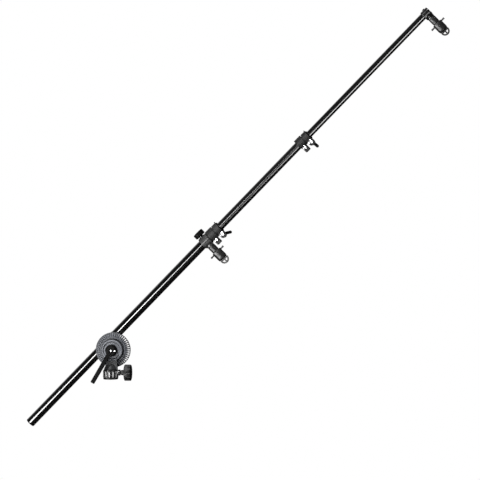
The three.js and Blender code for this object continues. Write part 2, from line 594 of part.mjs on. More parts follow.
// The plug that closes the thick tube's lower end.
function addEndPlug(group) {
  const inner = TUBE_1_RADIUS - TUBE_1_WALL - CLEARANCE;
  const edge = PLUG_FLANGE * PLUG_EDGE_SHARE;
  const plug = turned("x", [
    [0, -CLEARANCE - PLUG_FLANGE],
    [TUBE_1_RADIUS - edge, -CLEARANCE - PLUG_FLANGE],
    [TUBE_1_RADIUS, -CLEARANCE - PLUG_FLANGE + edge],
    [TUBE_1_RADIUS, -CLEARANCE],
    [inner, -CLEARANCE],
    [inner, PLUG_DEPTH],
    [0, PLUG_DEPTH],
  ]);
  const hollow = rod("x", inner - TUBE_1_WALL, 0, PLUG_DEPTH + OVERRUN, [0, 0, 0],
    SMALL_SIDES);
  addPiece(group, "tube_1_plug", cut(plug, hollow), BLACK_PLASTIC);
}

// The bush at a tube's lower end that keeps it centred in the tube outside it.
function addGuideBush(group, name, diameter, wall, place, outerBore) {
  const inner = diameter / 2 - wall - CLEARANCE;
  const outer = outerBore - CLEARANCE;
  const bush = turned("x", [
    [0, place - CLEARANCE - GUIDE_LENGTH],
    [outer, place - CLEARANCE - GUIDE_LENGTH],
    [outer, place - CLEARANCE],
    [inner, place - CLEARANCE],
    [inner, place + PLUG_DEPTH],
    [0, place + PLUG_DEPTH],
  ]);
  const hollow = rod("x", inner - wall, place - CLEARANCE - GUIDE_LENGTH - OVERRUN,
    place + PLUG_DEPTH + OVERRUN, [0, 0, 0], SMALL_SIDES);
  addPiece(group, name, cut(bush, hollow), CLEAR_PLASTIC);
}

// A lock ear seen from the front: square below, round at its end above.
function earShape(place, depth, width, reach, round) {
  const shape = new THREE.Shape();
  const half = width / 2;
  shape.moveTo(place - half, 0);
  if (round) {
    shape.lineTo(place - half, -depth - reach + half);
    shape.absarc(place, -depth - reach + half, half, Math.PI, 2 * Math.PI, false);
  } else {
    shape.lineTo(place - half, -depth - reach);
    shape.lineTo(place + half, -depth - reach);
  }
  shape.lineTo(place + half, 0);
  shape.closePath();
  return shape;
}

// A section lock: a split collar that grips the outer tube with a bolt and nut, and closes
// on the inner tube with a bolt and a lever.
function addSectionLock(group, prefix, place, outerDiameter, innerDiameter, leverDegrees) {
  const outerRadius = outerDiameter / 2;
  const bore = outerRadius + CLEARANCE;
  const thick = bore + LOCK_WALL;
  const thin = bore + LOCK_NECK_WALL;
  const end = place + LOCK_LENGTH;
  const gripEnd = place + LOCK_GRIP_LENGTH;
  const depth = outerRadius + LOCK_BOLT_OFFSET;
  const lowerAt = [place + LOCK_LOWER_BOLT_PLACE, 0, -depth];
  const upperAt = [place + LOCK_UPPER_BOLT_PLACE, 0, -depth];
  const sleeve = turned("x", [
    [0, place],
    [thick, place],
    [thick, gripEnd],
    [thin, gripEnd + LOCK_WALL - LOCK_NECK_WALL],
    [thin, end],
    [0, end],
  ]);
  const earHalf = LOCK_EAR_THICKNESS + LOCK_SLIT / 2;
  const lowerEar = plate(earShape(lowerAt[0], depth, LOCK_LOWER_EAR_WIDTH,
    LOCK_LOWER_EAR_REACH, false), -earHalf, earHalf);
  const upperEar = plate(earShape(upperAt[0], depth, LOCK_UPPER_EAR_RADIUS * 2,
    LOCK_UPPER_EAR_REACH, true), -earHalf, earHalf);
  const spine = block([place, -LOCK_SPINE_WIDTH / 2, 0],
    [gripEnd, LOCK_SPINE_WIDTH / 2, thick + LOCK_SPINE_HEIGHT]);
  const tab = block([end - LOCK_TAB_LENGTH, -LOCK_SPINE_WIDTH / 2, 0],
    [end, LOCK_SPINE_WIDTH / 2, thin + LOCK_TAB_REACH]);
  const throughBore = rod("x", bore, place - OVERRUN, end + OVERRUN);
  const slit = block([place - OVERRUN, -LOCK_SLIT / 2, -depth - LOCK_LOWER_EAR_REACH - OVERRUN],
    [end + OVERRUN, LOCK_SLIT / 2, 0]);
  const gap = block([upperAt[0] - LOCK_UPPER_EAR_RADIUS - LOCK_EAR_GAP, -thick,
    -depth - LOCK_LOWER_EAR_REACH - OVERRUN],
  [upperAt[0] - LOCK_UPPER_EAR_RADIUS, thick, -bore - LOCK_WALL * GAP_DEPTH_SHARE]);
  const hole = (at) => rod("y", LOCK_BOLT_DIAMETER / 2 + CLEARANCE, -earHalf - OVERRUN,
    earHalf + OVERRUN, at, SMALL_SIDES);
  const collar = cut(join(sleeve, lowerEar, upperEar, spine, tab), throughBore, slit, gap,
    hole(lowerAt), hole(upperAt));
  addPiece(group, `${prefix}_collar`, collar, COLLAR_GREY);

  const tubeEnd = place + LOCK_TUBE_DEPTH;
  const linerInner = innerDiameter / 2 + CLEARANCE;
  const flangeEnd = end + CLEARANCE + LOCK_LINER_FLANGE;
  const flange = rod("x", thin, end + CLEARANCE, flangeEnd);
  const barrel = rod("x", outerRadius, tubeEnd + CLEARANCE, flangeEnd);
  const innerBore = rod("x", linerInner, tubeEnd - OVERRUN, flangeEnd + OVERRUN);
  const linerSlot = block([tubeEnd - OVERRUN, -LOCK_LINER_SLOT / 2, -thin - OVERRUN],
    [end + LOCK_LINER_FLANGE + OVERRUN, LOCK_LINER_SLOT / 2, 0]);
  addPiece(group, `${prefix}_liner`, cut(join(barrel, flange), innerBore, linerSlot),
    CLEAR_PLASTIC);

  const face = earHalf + CLEARANCE;
  const shank = LOCK_BOLT_DIAMETER / 2;
  const bolt = (at, headDiameter, backEnd) => join(
    turned("y", [
      [0, -face],
      [headDiameter / 2, -face],
      [headDiameter / 2, -face - LOCK_HEAD_HEIGHT / 2],
      [headDiameter / 2 - LOCK_HEAD_HEIGHT / 2, -face - LOCK_HEAD_HEIGHT],
      [0, -face - LOCK_HEAD_HEIGHT],
    ], at, SMALL_SIDES),
    rod("y", shank, -face - LOCK_HEAD_HEIGHT / 2, backEnd, at, SMALL_SIDES),
  );
  addPiece(group, `${prefix}_grip_bolt`,
    bolt(lowerAt, LOCK_LOWER_HEAD_DIAMETER, face + LOCK_NUT_HEIGHT), STEEL);
  const hexNut = (at, from, to) => cut(
    rod("y", LOCK_NUT_DIAMETER / 2, from, to, at, HEX_SIDES),
    rod("y", shank + CLEARANCE, from - OVERRUN, to + OVERRUN, at, SMALL_SIDES),
  );
  addPiece(group, `${prefix}_grip_nut`, hexNut(lowerAt, face, face + LOCK_NUT_HEIGHT), STEEL);
  const leverBack = face + LOCK_LEVER_HUB_HEIGHT;
  const nutStart = leverBack + CLEARANCE;
  const nutEnd = nutStart + LOCK_CAP_NUT_HEIGHT;
  addPiece(group, `${prefix}_lever_bolt`, bolt(upperAt, LOCK_UPPER_HEAD_DIAMETER, nutEnd),
    STEEL);
  addPiece(group, `${prefix}_lever_nut`, hexNut(upperAt, nutStart, nutEnd), STEEL);
  addLockLever(group, prefix, upperAt, face, leverDegrees);
}

// A lock's lever behind its ear, drawn down from the bolt and turned up the arm.
function addLockLever(group, prefix, at, face, degrees) {
  const lever = new THREE.Group();
  lever.position.set(...at);
  lever.rotation.y = -THREE.MathUtils.degToRad(degrees);
  group.add(lever);
  const back = face + LOCK_LEVER_HUB_HEIGHT;
  const hub = rod("y", LOCK_LEVER_HUB_DIAMETER / 2, face, back);
  const half = LOCK_LEVER_WIDTH / 2;
  const outline = new THREE.Shape();
  outline.moveTo(-half, 0);
  outline.lineTo(-half, -LOCK_LEVER_LENGTH + half);
  outline.absarc(0, -LOCK_LEVER_LENGTH + half, half, Math.PI, 2 * Math.PI, false);
  outline.lineTo(half, 0);
  outline.closePath();
  const arm = plate(outline, back - LOCK_LEVER_THICKNESS, back);
  const bore = rod("y", LOCK_BOLT_DIAMETER / 2 + CLEARANCE, face - OVERRUN, back + OVERRUN,
    [0, 0, 0], SMALL_SIDES);
  addPiece(lever, `${prefix}_lever`, cut(join(hub, arm), bore), BLACK_PLASTIC);
}

// The slider on the thick tube: a sleeve with a liner, and a knob on one side whose screw
// presses a pad on the liner.
function addSlider(group) {
  const end = SLIDER_PLACE + SLIDER_LENGTH;
  const linerInner = TUBE_1_RADIUS + CLEARANCE;
  const linerOuter = linerInner + SLIDER_LINER_WALL;
  const bore = linerOuter + CLEARANCE;
  const outer = bore + SLIDER_WALL;
  const middle = SLIDER_PLACE + SLIDER_SCREW_PLACE;
  const bossTop = outer + SLIDER_BOSS_HEIGHT;
  const sleeve = rod("x", outer, SLIDER_PLACE, end);
  const boss = rod("z", SLIDER_BOSS_DIAMETER / 2, 0, bossTop, [middle, 0, 0]);
  const clipBoss = rod("z", CLIP_BOSS_DIAMETER / 2, -CLIP_SEAT, 0, [middle, 0, 0]);
  const throughBore = rod("x", bore, SLIDER_PLACE - OVERRUN, end + OVERRUN);
  const screwBore = rod("z", SLIDER_SCREW_DIAMETER / 2 + CLEARANCE, 0, bossTop + OVERRUN,
    [middle, 0, 0], SMALL_SIDES);
  const pinHole = rod("z", CLIP_PIN_DIAMETER / 2 + CLEARANCE, -CLIP_SEAT - OVERRUN, 0,
    [middle, 0, 0], SMALL_SIDES);
  const headStart = bore + CLEARANCE;
  const headRoom = rod("z", CLIP_PIN_HEAD_DIAMETER / 2 + CLEARANCE,
    -headStart - CLIP_PIN_HEAD_HEIGHT - CLEARANCE, 0, [middle, 0, 0], SMALL_SIDES);
  const solid = cut(join(sleeve, boss, clipBoss), throughBore, screwBore, pinHole, headRoom);
  addPiece(group, "slider_sleeve", solid, COLLAR_GREY);
  const liner = pipe("x", linerOuter, linerInner, SLIDER_PLACE, end);
  const slot = block([SLIDER_PLACE - OVERRUN, 0, -SLIDER_LINER_SLOT / 2],
    [end + OVERRUN, bore, SLIDER_LINER_SLOT / 2]);
  addPiece(group, "slider_liner", cut(liner, slot), CLEAR_PLASTIC);
  const padTop = bore + SLIDER_PAD_LENGTH;
  const pad = rod("z", SLIDER_PAD_DIAMETER / 2, bore, padTop, [middle, 0, 0], SMALL_SIDES);
  addPiece(group, "slider_pad", pad, RUBBER);
  const knobPlace = bossTop + SLIDER_KNOB_LIFT + SLIDER_KNOB_SKIRT_LENGTH;
  const screw = rod("z", SLIDER_SCREW_DIAMETER / 2, padTop + CLEARANCE,
    knobPlace + SLIDER_KNOB_THICKNESS * KNOB_BORE_SHARE - CLEARANCE, [middle, 0, 0],
    SMALL_SIDES);
  addPiece(group, "slider_screw", screw, STEEL);
  const holder = new THREE.Group();
  holder.position.set(middle, 0, knobPlace);
  holder.rotation.y = -Math.PI / 2;
  group.add(holder);
  const knob = knobSolid(SLIDER_KNOB_DIAMETER, SLIDER_KNOB_THICKNESS,
    SLIDER_KNOB_SKIRT_LENGTH, SLIDER_KNOB_SKIRT_DIAMETER, SLIDER_SCREW_DIAMETER);
  addPiece(holder, "slider_knob", knob, BLACK_PLASTIC);
  addClipPin(group, "slider_clip_pin", middle, headStart);
}

// The pin that a clip turns on, with its head inside the piece that carries the clip.
function addClipPin(group, name, place, headStart) {
  const head = rod("z", CLIP_PIN_HEAD_DIAMETER / 2, -headStart - CLIP_PIN_HEAD_HEIGHT,
    -headStart, [place, 0, 0], SMALL_SIDES);
  const shank = rod("z", CLIP_PIN_DIAMETER / 2, -CLIP_PIN_REACH,
    -headStart - CLIP_PIN_HEAD_HEIGHT / 2, [place, 0, 0], SMALL_SIDES);
  addPiece(group, name, join(head, shank), DARK_STEEL);
}

// The block on the thin tube's upper end, with the screw that holds it there.
function addEndBlock(group) {
  const bore = TUBE_3_DIAMETER / 2 + CLEARANCE;
  const outer = bore + END_BLOCK_WALL;
  const end = END_BLOCK_PLACE + END_BLOCK_LENGTH;
  const middle = END_BLOCK_PLACE + END_BLOCK_CLIP_PLACE;
  const body = rod("x", outer, END_BLOCK_PLACE, end, [0, 0, 0], LARGE_SIDES);
  const boss = rod("z", CLIP_BOSS_DIAMETER / 2, -CLIP_SEAT, 0, [middle, 0, 0]);
  const tubeBore = rod("x", bore, END_BLOCK_PLACE - OVERRUN,
    END_BLOCK_PLACE + END_BLOCK_TUBE_DEPTH + CLEARANCE);
  const headStart = bore + CLEARANCE;
  const headRoom = rod("z", CLIP_PIN_HEAD_DIAMETER / 2 + CLEARANCE,
    -headStart - CLIP_PIN_HEAD_HEIGHT - CLEARANCE, 0, [middle, 0, 0], SMALL_SIDES);
  const pinHole = rod("z", CLIP_PIN_DIAMETER / 2 + CLEARANCE, -CLIP_SEAT - OVERRUN, 0,
    [middle, 0, 0], SMALL_SIDES);
  const screwHole = rod("z", END_SCREW_DIAMETER / 2 + CLEARANCE, 0, outer + OVERRUN,
    [middle, 0, 0], SMALL_SIDES);
  const solid = cut(join(body, boss), tubeBore, headRoom, pinHole, screwHole);
  addPiece(group, "end_block", solid, COLLAR_GREY);
  const head = rod("z", END_SCREW_HEAD_DIAMETER / 2, outer + CLEARANCE,
    outer + CLEARANCE + END_SCREW_HEAD_HEIGHT, [middle, 0, 0], SMALL_SIDES);
  const shank = rod("z", END_SCREW_DIAMETER / 2, bore, outer + OVERRUN / 2, [middle, 0, 0],
    SMALL_SIDES);
  addPiece(group, "end_block_screw", join(head, shank), DARK_STEEL);
  addClipPin(group, "end_clip_pin", middle, headStart);
}

// A helix about +Z for a coil spring's wire.
class Helix extends THREE.Curve {
  constructor(radius, from, to, curls) {
    super();
    Object.assign(this, { radius, from, to, curls });
  }

  getPoint(t, target = new THREE.Vector3()) {
    const angle = 2 * Math.PI * this.curls * t;
    const z = this.from + (this.to - this.from) * t;
    return target.set(this.radius * Math.cos(angle), this.radius * Math.sin(angle), z);
  }
}

// A coil spring as one unbroken wire, between two places on its axis.
function coilSolid(outerDiameter, wire, from, to, curls) {
  const half = wire / 2;
  const path = new Helix(outerDiameter / 2 - half, from + half, to - half, curls);
  const section = new THREE.Shape();
  for (let i = 0; i < WIRE_SIDES; i += 1) {
    const angle = (2 * Math.PI * i) / WIRE_SIDES;
    const corner = [half * Math.cos(angle), half * Math.sin(angle)];
    if (i === 0) section.moveTo(...corner);
    else section.lineTo(...corner);
  }
  section.closePath();
  const steps = curls * CURL_STEPS;
  const points = path.getSpacedPoints(steps);
  let least = Infinity;
  for (let i = 0; i < points.length; i += 1) {
    for (let j = i + CURL_STEPS / 2; j < points.length; j += 1) {
      least = Math.min(least, points[i].distanceTo(points[j]) - wire);
    }
  }
  console.log(`coil of ${curls} curls, least gap to itself ${least.toFixed(2)} mm`);
  return solidOf(new THREE.ExtrudeGeometry(section, { steps, extrudePath: path }));
}

// The hook's outline: straight sides and a round end.
function hookShape(low) {
  const half = CLIP_HOOK_WIDTH / 2;
  const centre = CLIP_HOOK_END - half;
  const shape = new THREE.Shape();
  shape.moveTo(-half, low);
  shape.lineTo(half, low);
  shape.lineTo(half, centre);
  shape.absarc(0, centre, half, 0, Math.PI, false);
  shape.closePath();
  return shape;
}

// A spring clip, in its own frame: +Z runs out from the tube, and the hook's plate is on
// the +Y side. The core turns on its pin, and the sleeve slides on the core.
function addClip(group, prefix, place) {
  const clip = new THREE.Group();
  clip.position.set(place, 0, 0);
  clip.rotation.y = Math.PI;
  group.add(clip);
  const coreRadius = CLIP_CORE_DIAMETER / 2;
  const neckRadius = CLIP_NECK_DIAMETER / 2;
  const sleeveRadius = CLIP_SLEEVE_DIAMETER / 2;
  const barRadius = CLIP_BAR_DIAMETER / 2;
  const boreRadius = CLIP_SPRING_DIAMETER / 2 + CLEARANCE + CLEARANCE;
  const edge = NECK_EDGE_SHARE * neckRadius;
  const neck = turned("z", [
    [0, CLIP_SEAT + CLEARANCE],
    [neckRadius, CLIP_SEAT + CLEARANCE],
    [neckRadius, CLIP_NECK_END - edge],
    [neckRadius - edge, CLIP_NECK_END],
    [0, CLIP_NECK_END],
  ]);
  const core = rod("z", coreRadius, CLIP_SEAT + OVERRUN, CLIP_CORE_END);
  const collar = rod("z", boreRadius - CLEARANCE, CLIP_SPRING_START - CLIP_COLLAR_THICKNESS,
    CLIP_SPRING_START - CLEARANCE);
  const plateBack = coreRadius - CLEARANCE;
  const plateFront = plateBack - CLIP_HOOK_THICKNESS;
  const hookBase = CLIP_SLEEVE_END + CLEARANCE;
  const stemHalf = CLIP_STEM_WIDTH / 2;
  const stem = block([-stemHalf, plateFront, CLIP_CORE_END - CLIP_HOOK_THICKNESS],
    [stemHalf, plateBack, hookBase + CLIP_LEG_WIDTH / 2]);
  const hookPlate = plate(hookShape(hookBase), plateFront, plateBack);
  const lipStart = CLIP_HOOK_END - CLIP_LIP_THICKNESS;
  const lipRoom = block([-CLIP_HOOK_WIDTH, -CLIP_HOOK_WIDTH, hookBase - OVERRUN],
    [CLIP_HOOK_WIDTH, CLIP_HOOK_WIDTH, lipStart]);
  const lip = cut(plate(hookShape(hookBase), -CLIP_LIP_REACH, plateBack), lipRoom);
  const windowRadius = CLIP_HOOK_WIDTH / 2 - CLIP_LEG_WIDTH;
  const opening = rod("y", windowRadius, plateFront - OVERRUN, plateBack + OVERRUN,
    [0, 0, CLIP_HOOK_END - CLIP_HOOK_WIDTH / 2]);
  const ribHalf = CLIP_RIB_WIDTH / 2;
  const window = (side) => opening.intersect(block(
    [Math.min(side * ribHalf, side * windowRadius), plateFront - OVERRUN,
      hookBase + CLIP_LEG_WIDTH],
    [Math.max(side * ribHalf, side * windowRadius), plateBack + OVERRUN, CLIP_WINDOW_END],
  ));
  const pinBore = rod("z", CLIP_PIN_DIAMETER / 2 + CLEARANCE, 0, CLIP_PIN_REACH + CLEARANCE,
    [0, 0, 0], SMALL_SIDES);
  const slotHalf = barRadius + CLEARANCE;
  const barSlot = block([-neckRadius, -slotHalf, CLIP_BAR_PLACE - CLIP_TRAVEL - slotHalf],
    [neckRadius, slotHalf, CLIP_BAR_PLACE + slotHalf]);
  const coreSolid = cut(join(neck, core, collar, stem, hookPlate, lip), window(1), window(-1),
    pinBore, barSlot);
  addPiece(clip, `${prefix}_clip_core`, coreSolid, BLACK_PLASTIC);

  const roundEdge = sleeveRadius * SLEEVE_EDGE_SHARE;
  const sleeveOutside = [
    [sleeveRadius - roundEdge, CLIP_SLEEVE_START],
    [sleeveRadius, CLIP_SLEEVE_START + roundEdge],
    [sleeveRadius, CLIP_SLEEVE_ROUND_START],
  ];
  const roundLength = CLIP_SLEEVE_END - CLIP_SLEEVE_ROUND_START;
  const drop = (CLIP_SLEEVE_DIAMETER - CLIP_SLEEVE_MOUTH_DIAMETER) / 2;
  for (let i = 1; i <= ROUND_STEPS; i += 1) {
    const angle = (Math.PI / 2) * (i / ROUND_STEPS);
    sleeveOutside.push([
      sleeveRadius - drop * (1 - Math.cos(angle)),
      CLIP_SLEEVE_ROUND_START + roundLength * Math.sin(angle),
    ]);
  }
  const sleeveBody = turned("z", [[0, CLIP_SLEEVE_START], ...sleeveOutside,
    [0, CLIP_SLEEVE_END]]);
  const springRoom = rod("z", boreRadius, CLIP_SLEEVE_START - OVERRUN,
    CLIP_SPRING_END + CLEARANCE);
  const neckRoom = rod("z", neckRadius + CLEARANCE, CLIP_SLEEVE_START - OVERRUN,
    CLIP_NECK_END + CLIP_TRAVEL + CLEARANCE);
  const coreRoom = rod("z", coreRadius + CLEARANCE, CLIP_SLEEVE_START, CLIP_SLEEVE_END + OVERRUN);
  const stemRoom = block(
    [-stemHalf - CLEARANCE, plateFront - CLEARANCE, CLIP_SPRING_END],
    [stemHalf + CLEARANCE, plateBack + CLEARANCE, CLIP_SLEEVE_END + OVERRUN],
  );
  const barHole = rod("x", barRadius + CLEARANCE, -sleeveRadius - OVERRUN,
    sleeveRadius + OVERRUN, [0, 0, CLIP_BAR_PLACE], SMALL_SIDES);
  addPiece(clip, `${prefix}_clip_sleeve`, cut(sleeveBody, springRoom, neckRoom, coreRoom,
    stemRoom, barHole), CLIP_GREY);

  const span = CLIP_BAR_SPAN / 2;
  const tip = CLIP_BAR_TIP_DIAMETER / 2;
  const bar = turned("x", [
    [0, -span],
    [tip, -span],
    [tip, -span + CLIP_BAR_TIP_LENGTH],
    [barRadius, -span + CLIP_BAR_TIP_LENGTH],
    [barRadius, span - CLIP_BAR_TIP_LENGTH],
    [tip, span - CLIP_BAR_TIP_LENGTH],
    [tip, span],
    [0, span],
  ], [0, 0, CLIP_BAR_PLACE], SMALL_SIDES);
  addPiece(clip, `${prefix}_clip_crossbar`, bar, DARK_STEEL);
  addPiece(clip, `${prefix}_clip_spring`, coilSolid(CLIP_SPRING_DIAMETER, CLIP_SPRING_WIRE,
    CLIP_SPRING_START, CLIP_SPRING_END, CLIP_SPRING_CURLS), STEEL);
}

// The assembly

addSocketHead(root);
addSocketClamp(root);

const tiltAxis = new THREE.Group();
tiltAxis.position.set(PIVOT_OFFSET, 0, PIVOT_HEIGHT);
root.add(tiltAxis);
addTiltLever(tiltAxis);

const tiltingHalf = new THREE.Group();
tiltingHalf.rotation.y = -ARM_TILT;
tiltAxis.add(tiltingHalf);
addClampDisc(tiltingHalf);
addClampLiner(tiltingHalf);
addTiltBolt(tiltingHalf);

const arm = new THREE.Group();
arm.position.set(-HEAD_PLACE, TUBE_Y, TUBE_OFFSET);
tiltingHalf.add(arm);
addTube(arm, "tube_1", TUBE_1_DIAMETER, TUBE_1_WALL, 0, TUBE_1_LENGTH);
addTube(arm, "tube_2", TUBE_2_DIAMETER, TUBE_2_WALL, TUBE_2_PLACE, TUBE_2_LENGTH);
addTube(arm, "tube_3", TUBE_3_DIAMETER, TUBE_3_WALL, TUBE_3_PLACE, TUBE_3_LENGTH);
addEndPlug(arm);
addGuideBush(arm, "tube_2_guide_bush", TUBE_2_DIAMETER, TUBE_2_WALL, TUBE_2_PLACE,
  TUBE_1_DIAMETER / 2 - TUBE_1_WALL);
addGuideBush(arm, "tube_3_guide_bush", TUBE_3_DIAMETER, TUBE_3_WALL, TUBE_3_PLACE,
  TUBE_2_DIAMETER / 2 - TUBE_2_WALL);
addSectionLock(arm, "lock_1", LOCK_1_PLACE, TUBE_1_DIAMETER, TUBE_2_DIAMETER,
  LOCK_1_LEVER_DEGREES);
addSectionLock(arm, "lock_2", LOCK_2_PLACE, TUBE_2_DIAMETER, TUBE_3_DIAMETER,
  LOCK_2_LEVER_DEGREES);
addSlider(arm);
addEndBlock(arm);
addClip(arm, "slider", SLIDER_PLACE + SLIDER_SCREW_PLACE);
addClip(arm, "end", END_BLOCK_PLACE + END_BLOCK_CLIP_PLACE);

export default root;
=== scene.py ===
# %% [markdown]
# # A reflector holder arm in Blender
#
# A boom for camera work: three black tubes that slide in one another, a grip head that
# tilts them, and two spring clips that hold something thin by its rim.
# A measured frame says where each piece sits and how it moves, and each visible piece is
# modelled again in its place, rounder and finer.

# %% The frame
import json
import math
import bmesh
import bpy
from mathutils import Matrix, Vector


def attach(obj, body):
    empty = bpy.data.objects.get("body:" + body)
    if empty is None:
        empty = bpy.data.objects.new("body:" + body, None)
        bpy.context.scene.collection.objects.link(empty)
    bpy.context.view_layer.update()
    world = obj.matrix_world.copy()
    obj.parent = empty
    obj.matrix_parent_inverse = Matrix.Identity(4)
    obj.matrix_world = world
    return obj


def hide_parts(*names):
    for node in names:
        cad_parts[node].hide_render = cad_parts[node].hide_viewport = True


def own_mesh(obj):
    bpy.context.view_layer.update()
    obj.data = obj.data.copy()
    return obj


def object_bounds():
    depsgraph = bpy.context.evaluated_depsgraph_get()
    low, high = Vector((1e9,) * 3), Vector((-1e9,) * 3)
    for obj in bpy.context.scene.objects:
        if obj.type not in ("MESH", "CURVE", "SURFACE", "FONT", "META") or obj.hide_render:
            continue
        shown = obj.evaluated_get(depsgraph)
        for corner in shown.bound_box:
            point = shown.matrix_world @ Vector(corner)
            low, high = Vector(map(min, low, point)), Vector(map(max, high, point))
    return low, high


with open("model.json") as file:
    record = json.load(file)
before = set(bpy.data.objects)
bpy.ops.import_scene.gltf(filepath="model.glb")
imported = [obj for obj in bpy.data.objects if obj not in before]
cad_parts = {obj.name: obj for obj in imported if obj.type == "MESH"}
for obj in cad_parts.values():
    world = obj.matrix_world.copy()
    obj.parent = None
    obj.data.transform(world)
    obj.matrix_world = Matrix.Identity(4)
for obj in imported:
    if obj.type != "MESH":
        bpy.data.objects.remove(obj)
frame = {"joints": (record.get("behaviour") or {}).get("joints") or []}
cad_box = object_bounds()

# %% [markdown]
# ## Places
#
# Every piece is modelled in millimetres around its own handy centre, such as the tilt
# axis or the axis of a tube, because sizes on paper are written that way. A matrix then
# carries it to its real place in metres and is applied to the mesh, so that the finished
# object sits at the origin, unturned and unscaled.

# %% Places
MM = Matrix.Scale(0.001, 4)
ARM_TILT = math.radians(45.5)
PIVOT_OFFSET = 4.5
PIVOT_HEIGHT = 68.6
TUBE_Y = 31.5
TUBE_OFFSET = 22.5
HEAD_PLACE = 265
LOCK_1_PLACE = 610
LOCK_2_PLACE = 911
SLIDER_MIDDLE = 598.7
SLIDER_PLACE = 587.7
SLIDER_END = 609.7
END_BLOCK_PLACE = 1332
END_CLIP_PLACE = 1342.5
DISC_RIBS = 48
THICK_RADIUS, MIDDLE_RADIUS, THIN_RADIUS = 11, 9.5, 8

at_socket = MM
at_pivot = MM @ Matrix.Translation((PIVOT_OFFSET, 0, PIVOT_HEIGHT))
at_tilt = at_pivot @ Matrix.Rotation(-ARM_TILT, 4, "Y")
at_arm = at_tilt @ Matrix.Translation((-HEAD_PLACE, TUBE_Y, TUBE_OFFSET))
half_turn = Matrix.Rotation(math.pi, 4, "Y")
at_slider_clip = at_arm @ Matrix.Translation((SLIDER_MIDDLE, 0, 0)) @ half_turn
at_end_clip = at_arm @ Matrix.Translation((END_CLIP_PLACE, 0, 0)) @ half_turn
print("tilt axis at", at_pivot.translation)

# %% [markdown]
# ## Camera
#
# The photograph was taken from far off with a long lens, slightly from the right and
# slightly from above, so the arm hardly narrows with distance. A camera 16 m away with a
# narrow angle repeats that. It also leans by a third of a degree.

# %% Camera
AZIMUTH = math.radians(9)
ELEVATION = math.radians(3)
ROLL = math.radians(-0.35)
DISTANCE = 16
LOOK_AT = Vector((0.3545, 0.02, 0.4))
LENS_PIXELS = 6876
FRAME_PIXELS = 480
PICTURE_X = 261.0
PICTURE_Y = 208.2

towards_camera = Vector((
    math.sin(AZIMUTH) * math.cos(ELEVATION),
    -math.cos(AZIMUTH) * math.cos(ELEVATION),
    math.sin(ELEVATION),
))
bpy.ops.object.camera_add(location=LOOK_AT + DISTANCE * towards_camera)
camera = bpy.context.object
camera.rotation_euler = (
    towards_camera.to_track_quat("Z", "Y").to_matrix()
    @ Matrix.Rotation(ROLL, 3, "Z")
).to_euler()
camera.data.sensor_fit = "AUTO"
camera.data.lens = camera.data.sensor_width * LENS_PIXELS / FRAME_PIXELS
camera.data.shift_x = (FRAME_PIXELS / 2 - PICTURE_X) / FRAME_PIXELS
camera.data.shift_y = (PICTURE_Y - FRAME_PIXELS / 2) / FRAME_PIXELS
camera.data.clip_end = 100
bpy.context.scene.camera = camera
print("camera at", tuple(round(v, 2) for v in camera.location))

# %% [markdown]
# ## Light and background
#
# The studio is white behind the arm and dark where the camera stands. Softboxes far in
# front draw the thin bright line along the glossy tubes, strongest at the foot of the thick
# tube and weakest on the middle one. They are seen in reflections alone, so that they don't
# flatten the castings. A key lamp from the upper left shapes the castings. Dim lamps at the
# lower left and at the right lift the shaded sides, and a wide one at the lower left is
# reflected along the clips. A lamp behind the arm, which nothing reflects, lights its back,
# and a wide sun from above gives the floor its shadow.

# %% Lamps
FLOOR_DROP = 0.75
LINE_DISTANCE = 6.0
arm_along = Vector((math.cos(ARM_TILT), 0, math.sin(ARM_TILT)))
arm_up = Vector((-math.sin(ARM_TILT), 0, math.cos(ARM_TILT)))
UPPER_LEFT = (-0.5, 0.7, 0.5)


def add_softbox(name, target, direction, distance, width, length, watts, long_axis):
    """A rectangular lamp that faces a target, with its long side along long_axis."""
    direction = direction.normalized()
    bpy.ops.object.light_add(type="AREA", location=target + distance * direction)
    lamp = bpy.context.object
    lamp.name = name
    lamp.data.shape = "RECTANGLE"
    lamp.data.size = length
    lamp.data.size_y = width
    lamp.data.energy = watts
    side = (long_axis - long_axis.dot(direction) * direction).normalized()
    across = direction.cross(side)
    lamp.rotation_euler = Matrix((side, across, direction)).transposed().to_euler()
    print(name, "at", tuple(round(v, 2) for v in lamp.location))
    return lamp


def add_line_light(name, place, turn_degrees, width, length, watts):
    """A lamp that a tube reflects at a place along the arm, in metres from its middle.

    The line runs where the tube's normal leans half of the turn, downwards if positive.
    """
    target = LOOK_AT + place * arm_along
    view = (camera.location - target).normalized()
    mirrored = view - 2 * view.dot(arm_along) * arm_along
    direction = Matrix.Rotation(math.radians(turn_degrees), 3, arm_along) @ mirrored
    lamp = add_softbox(name, target, direction, LINE_DISTANCE, width, length, watts, arm_along)
    lamp.visible_diffuse = False


# name, place along the arm, turn in degrees, width, length, watts
LINE_LIGHTS = (
    ("foot_line_light", -0.62, -9, 1.2, 0.8, 56),
    ("thick_line_light", -0.28, -12, 1.2, 0.5, 18),
    ("middle_line_light", 0.03, -5, 1.2, 0.5, 1.4),
    ("thin_line_light", 0.42, 35, 2.2, 0.9, 46),
)
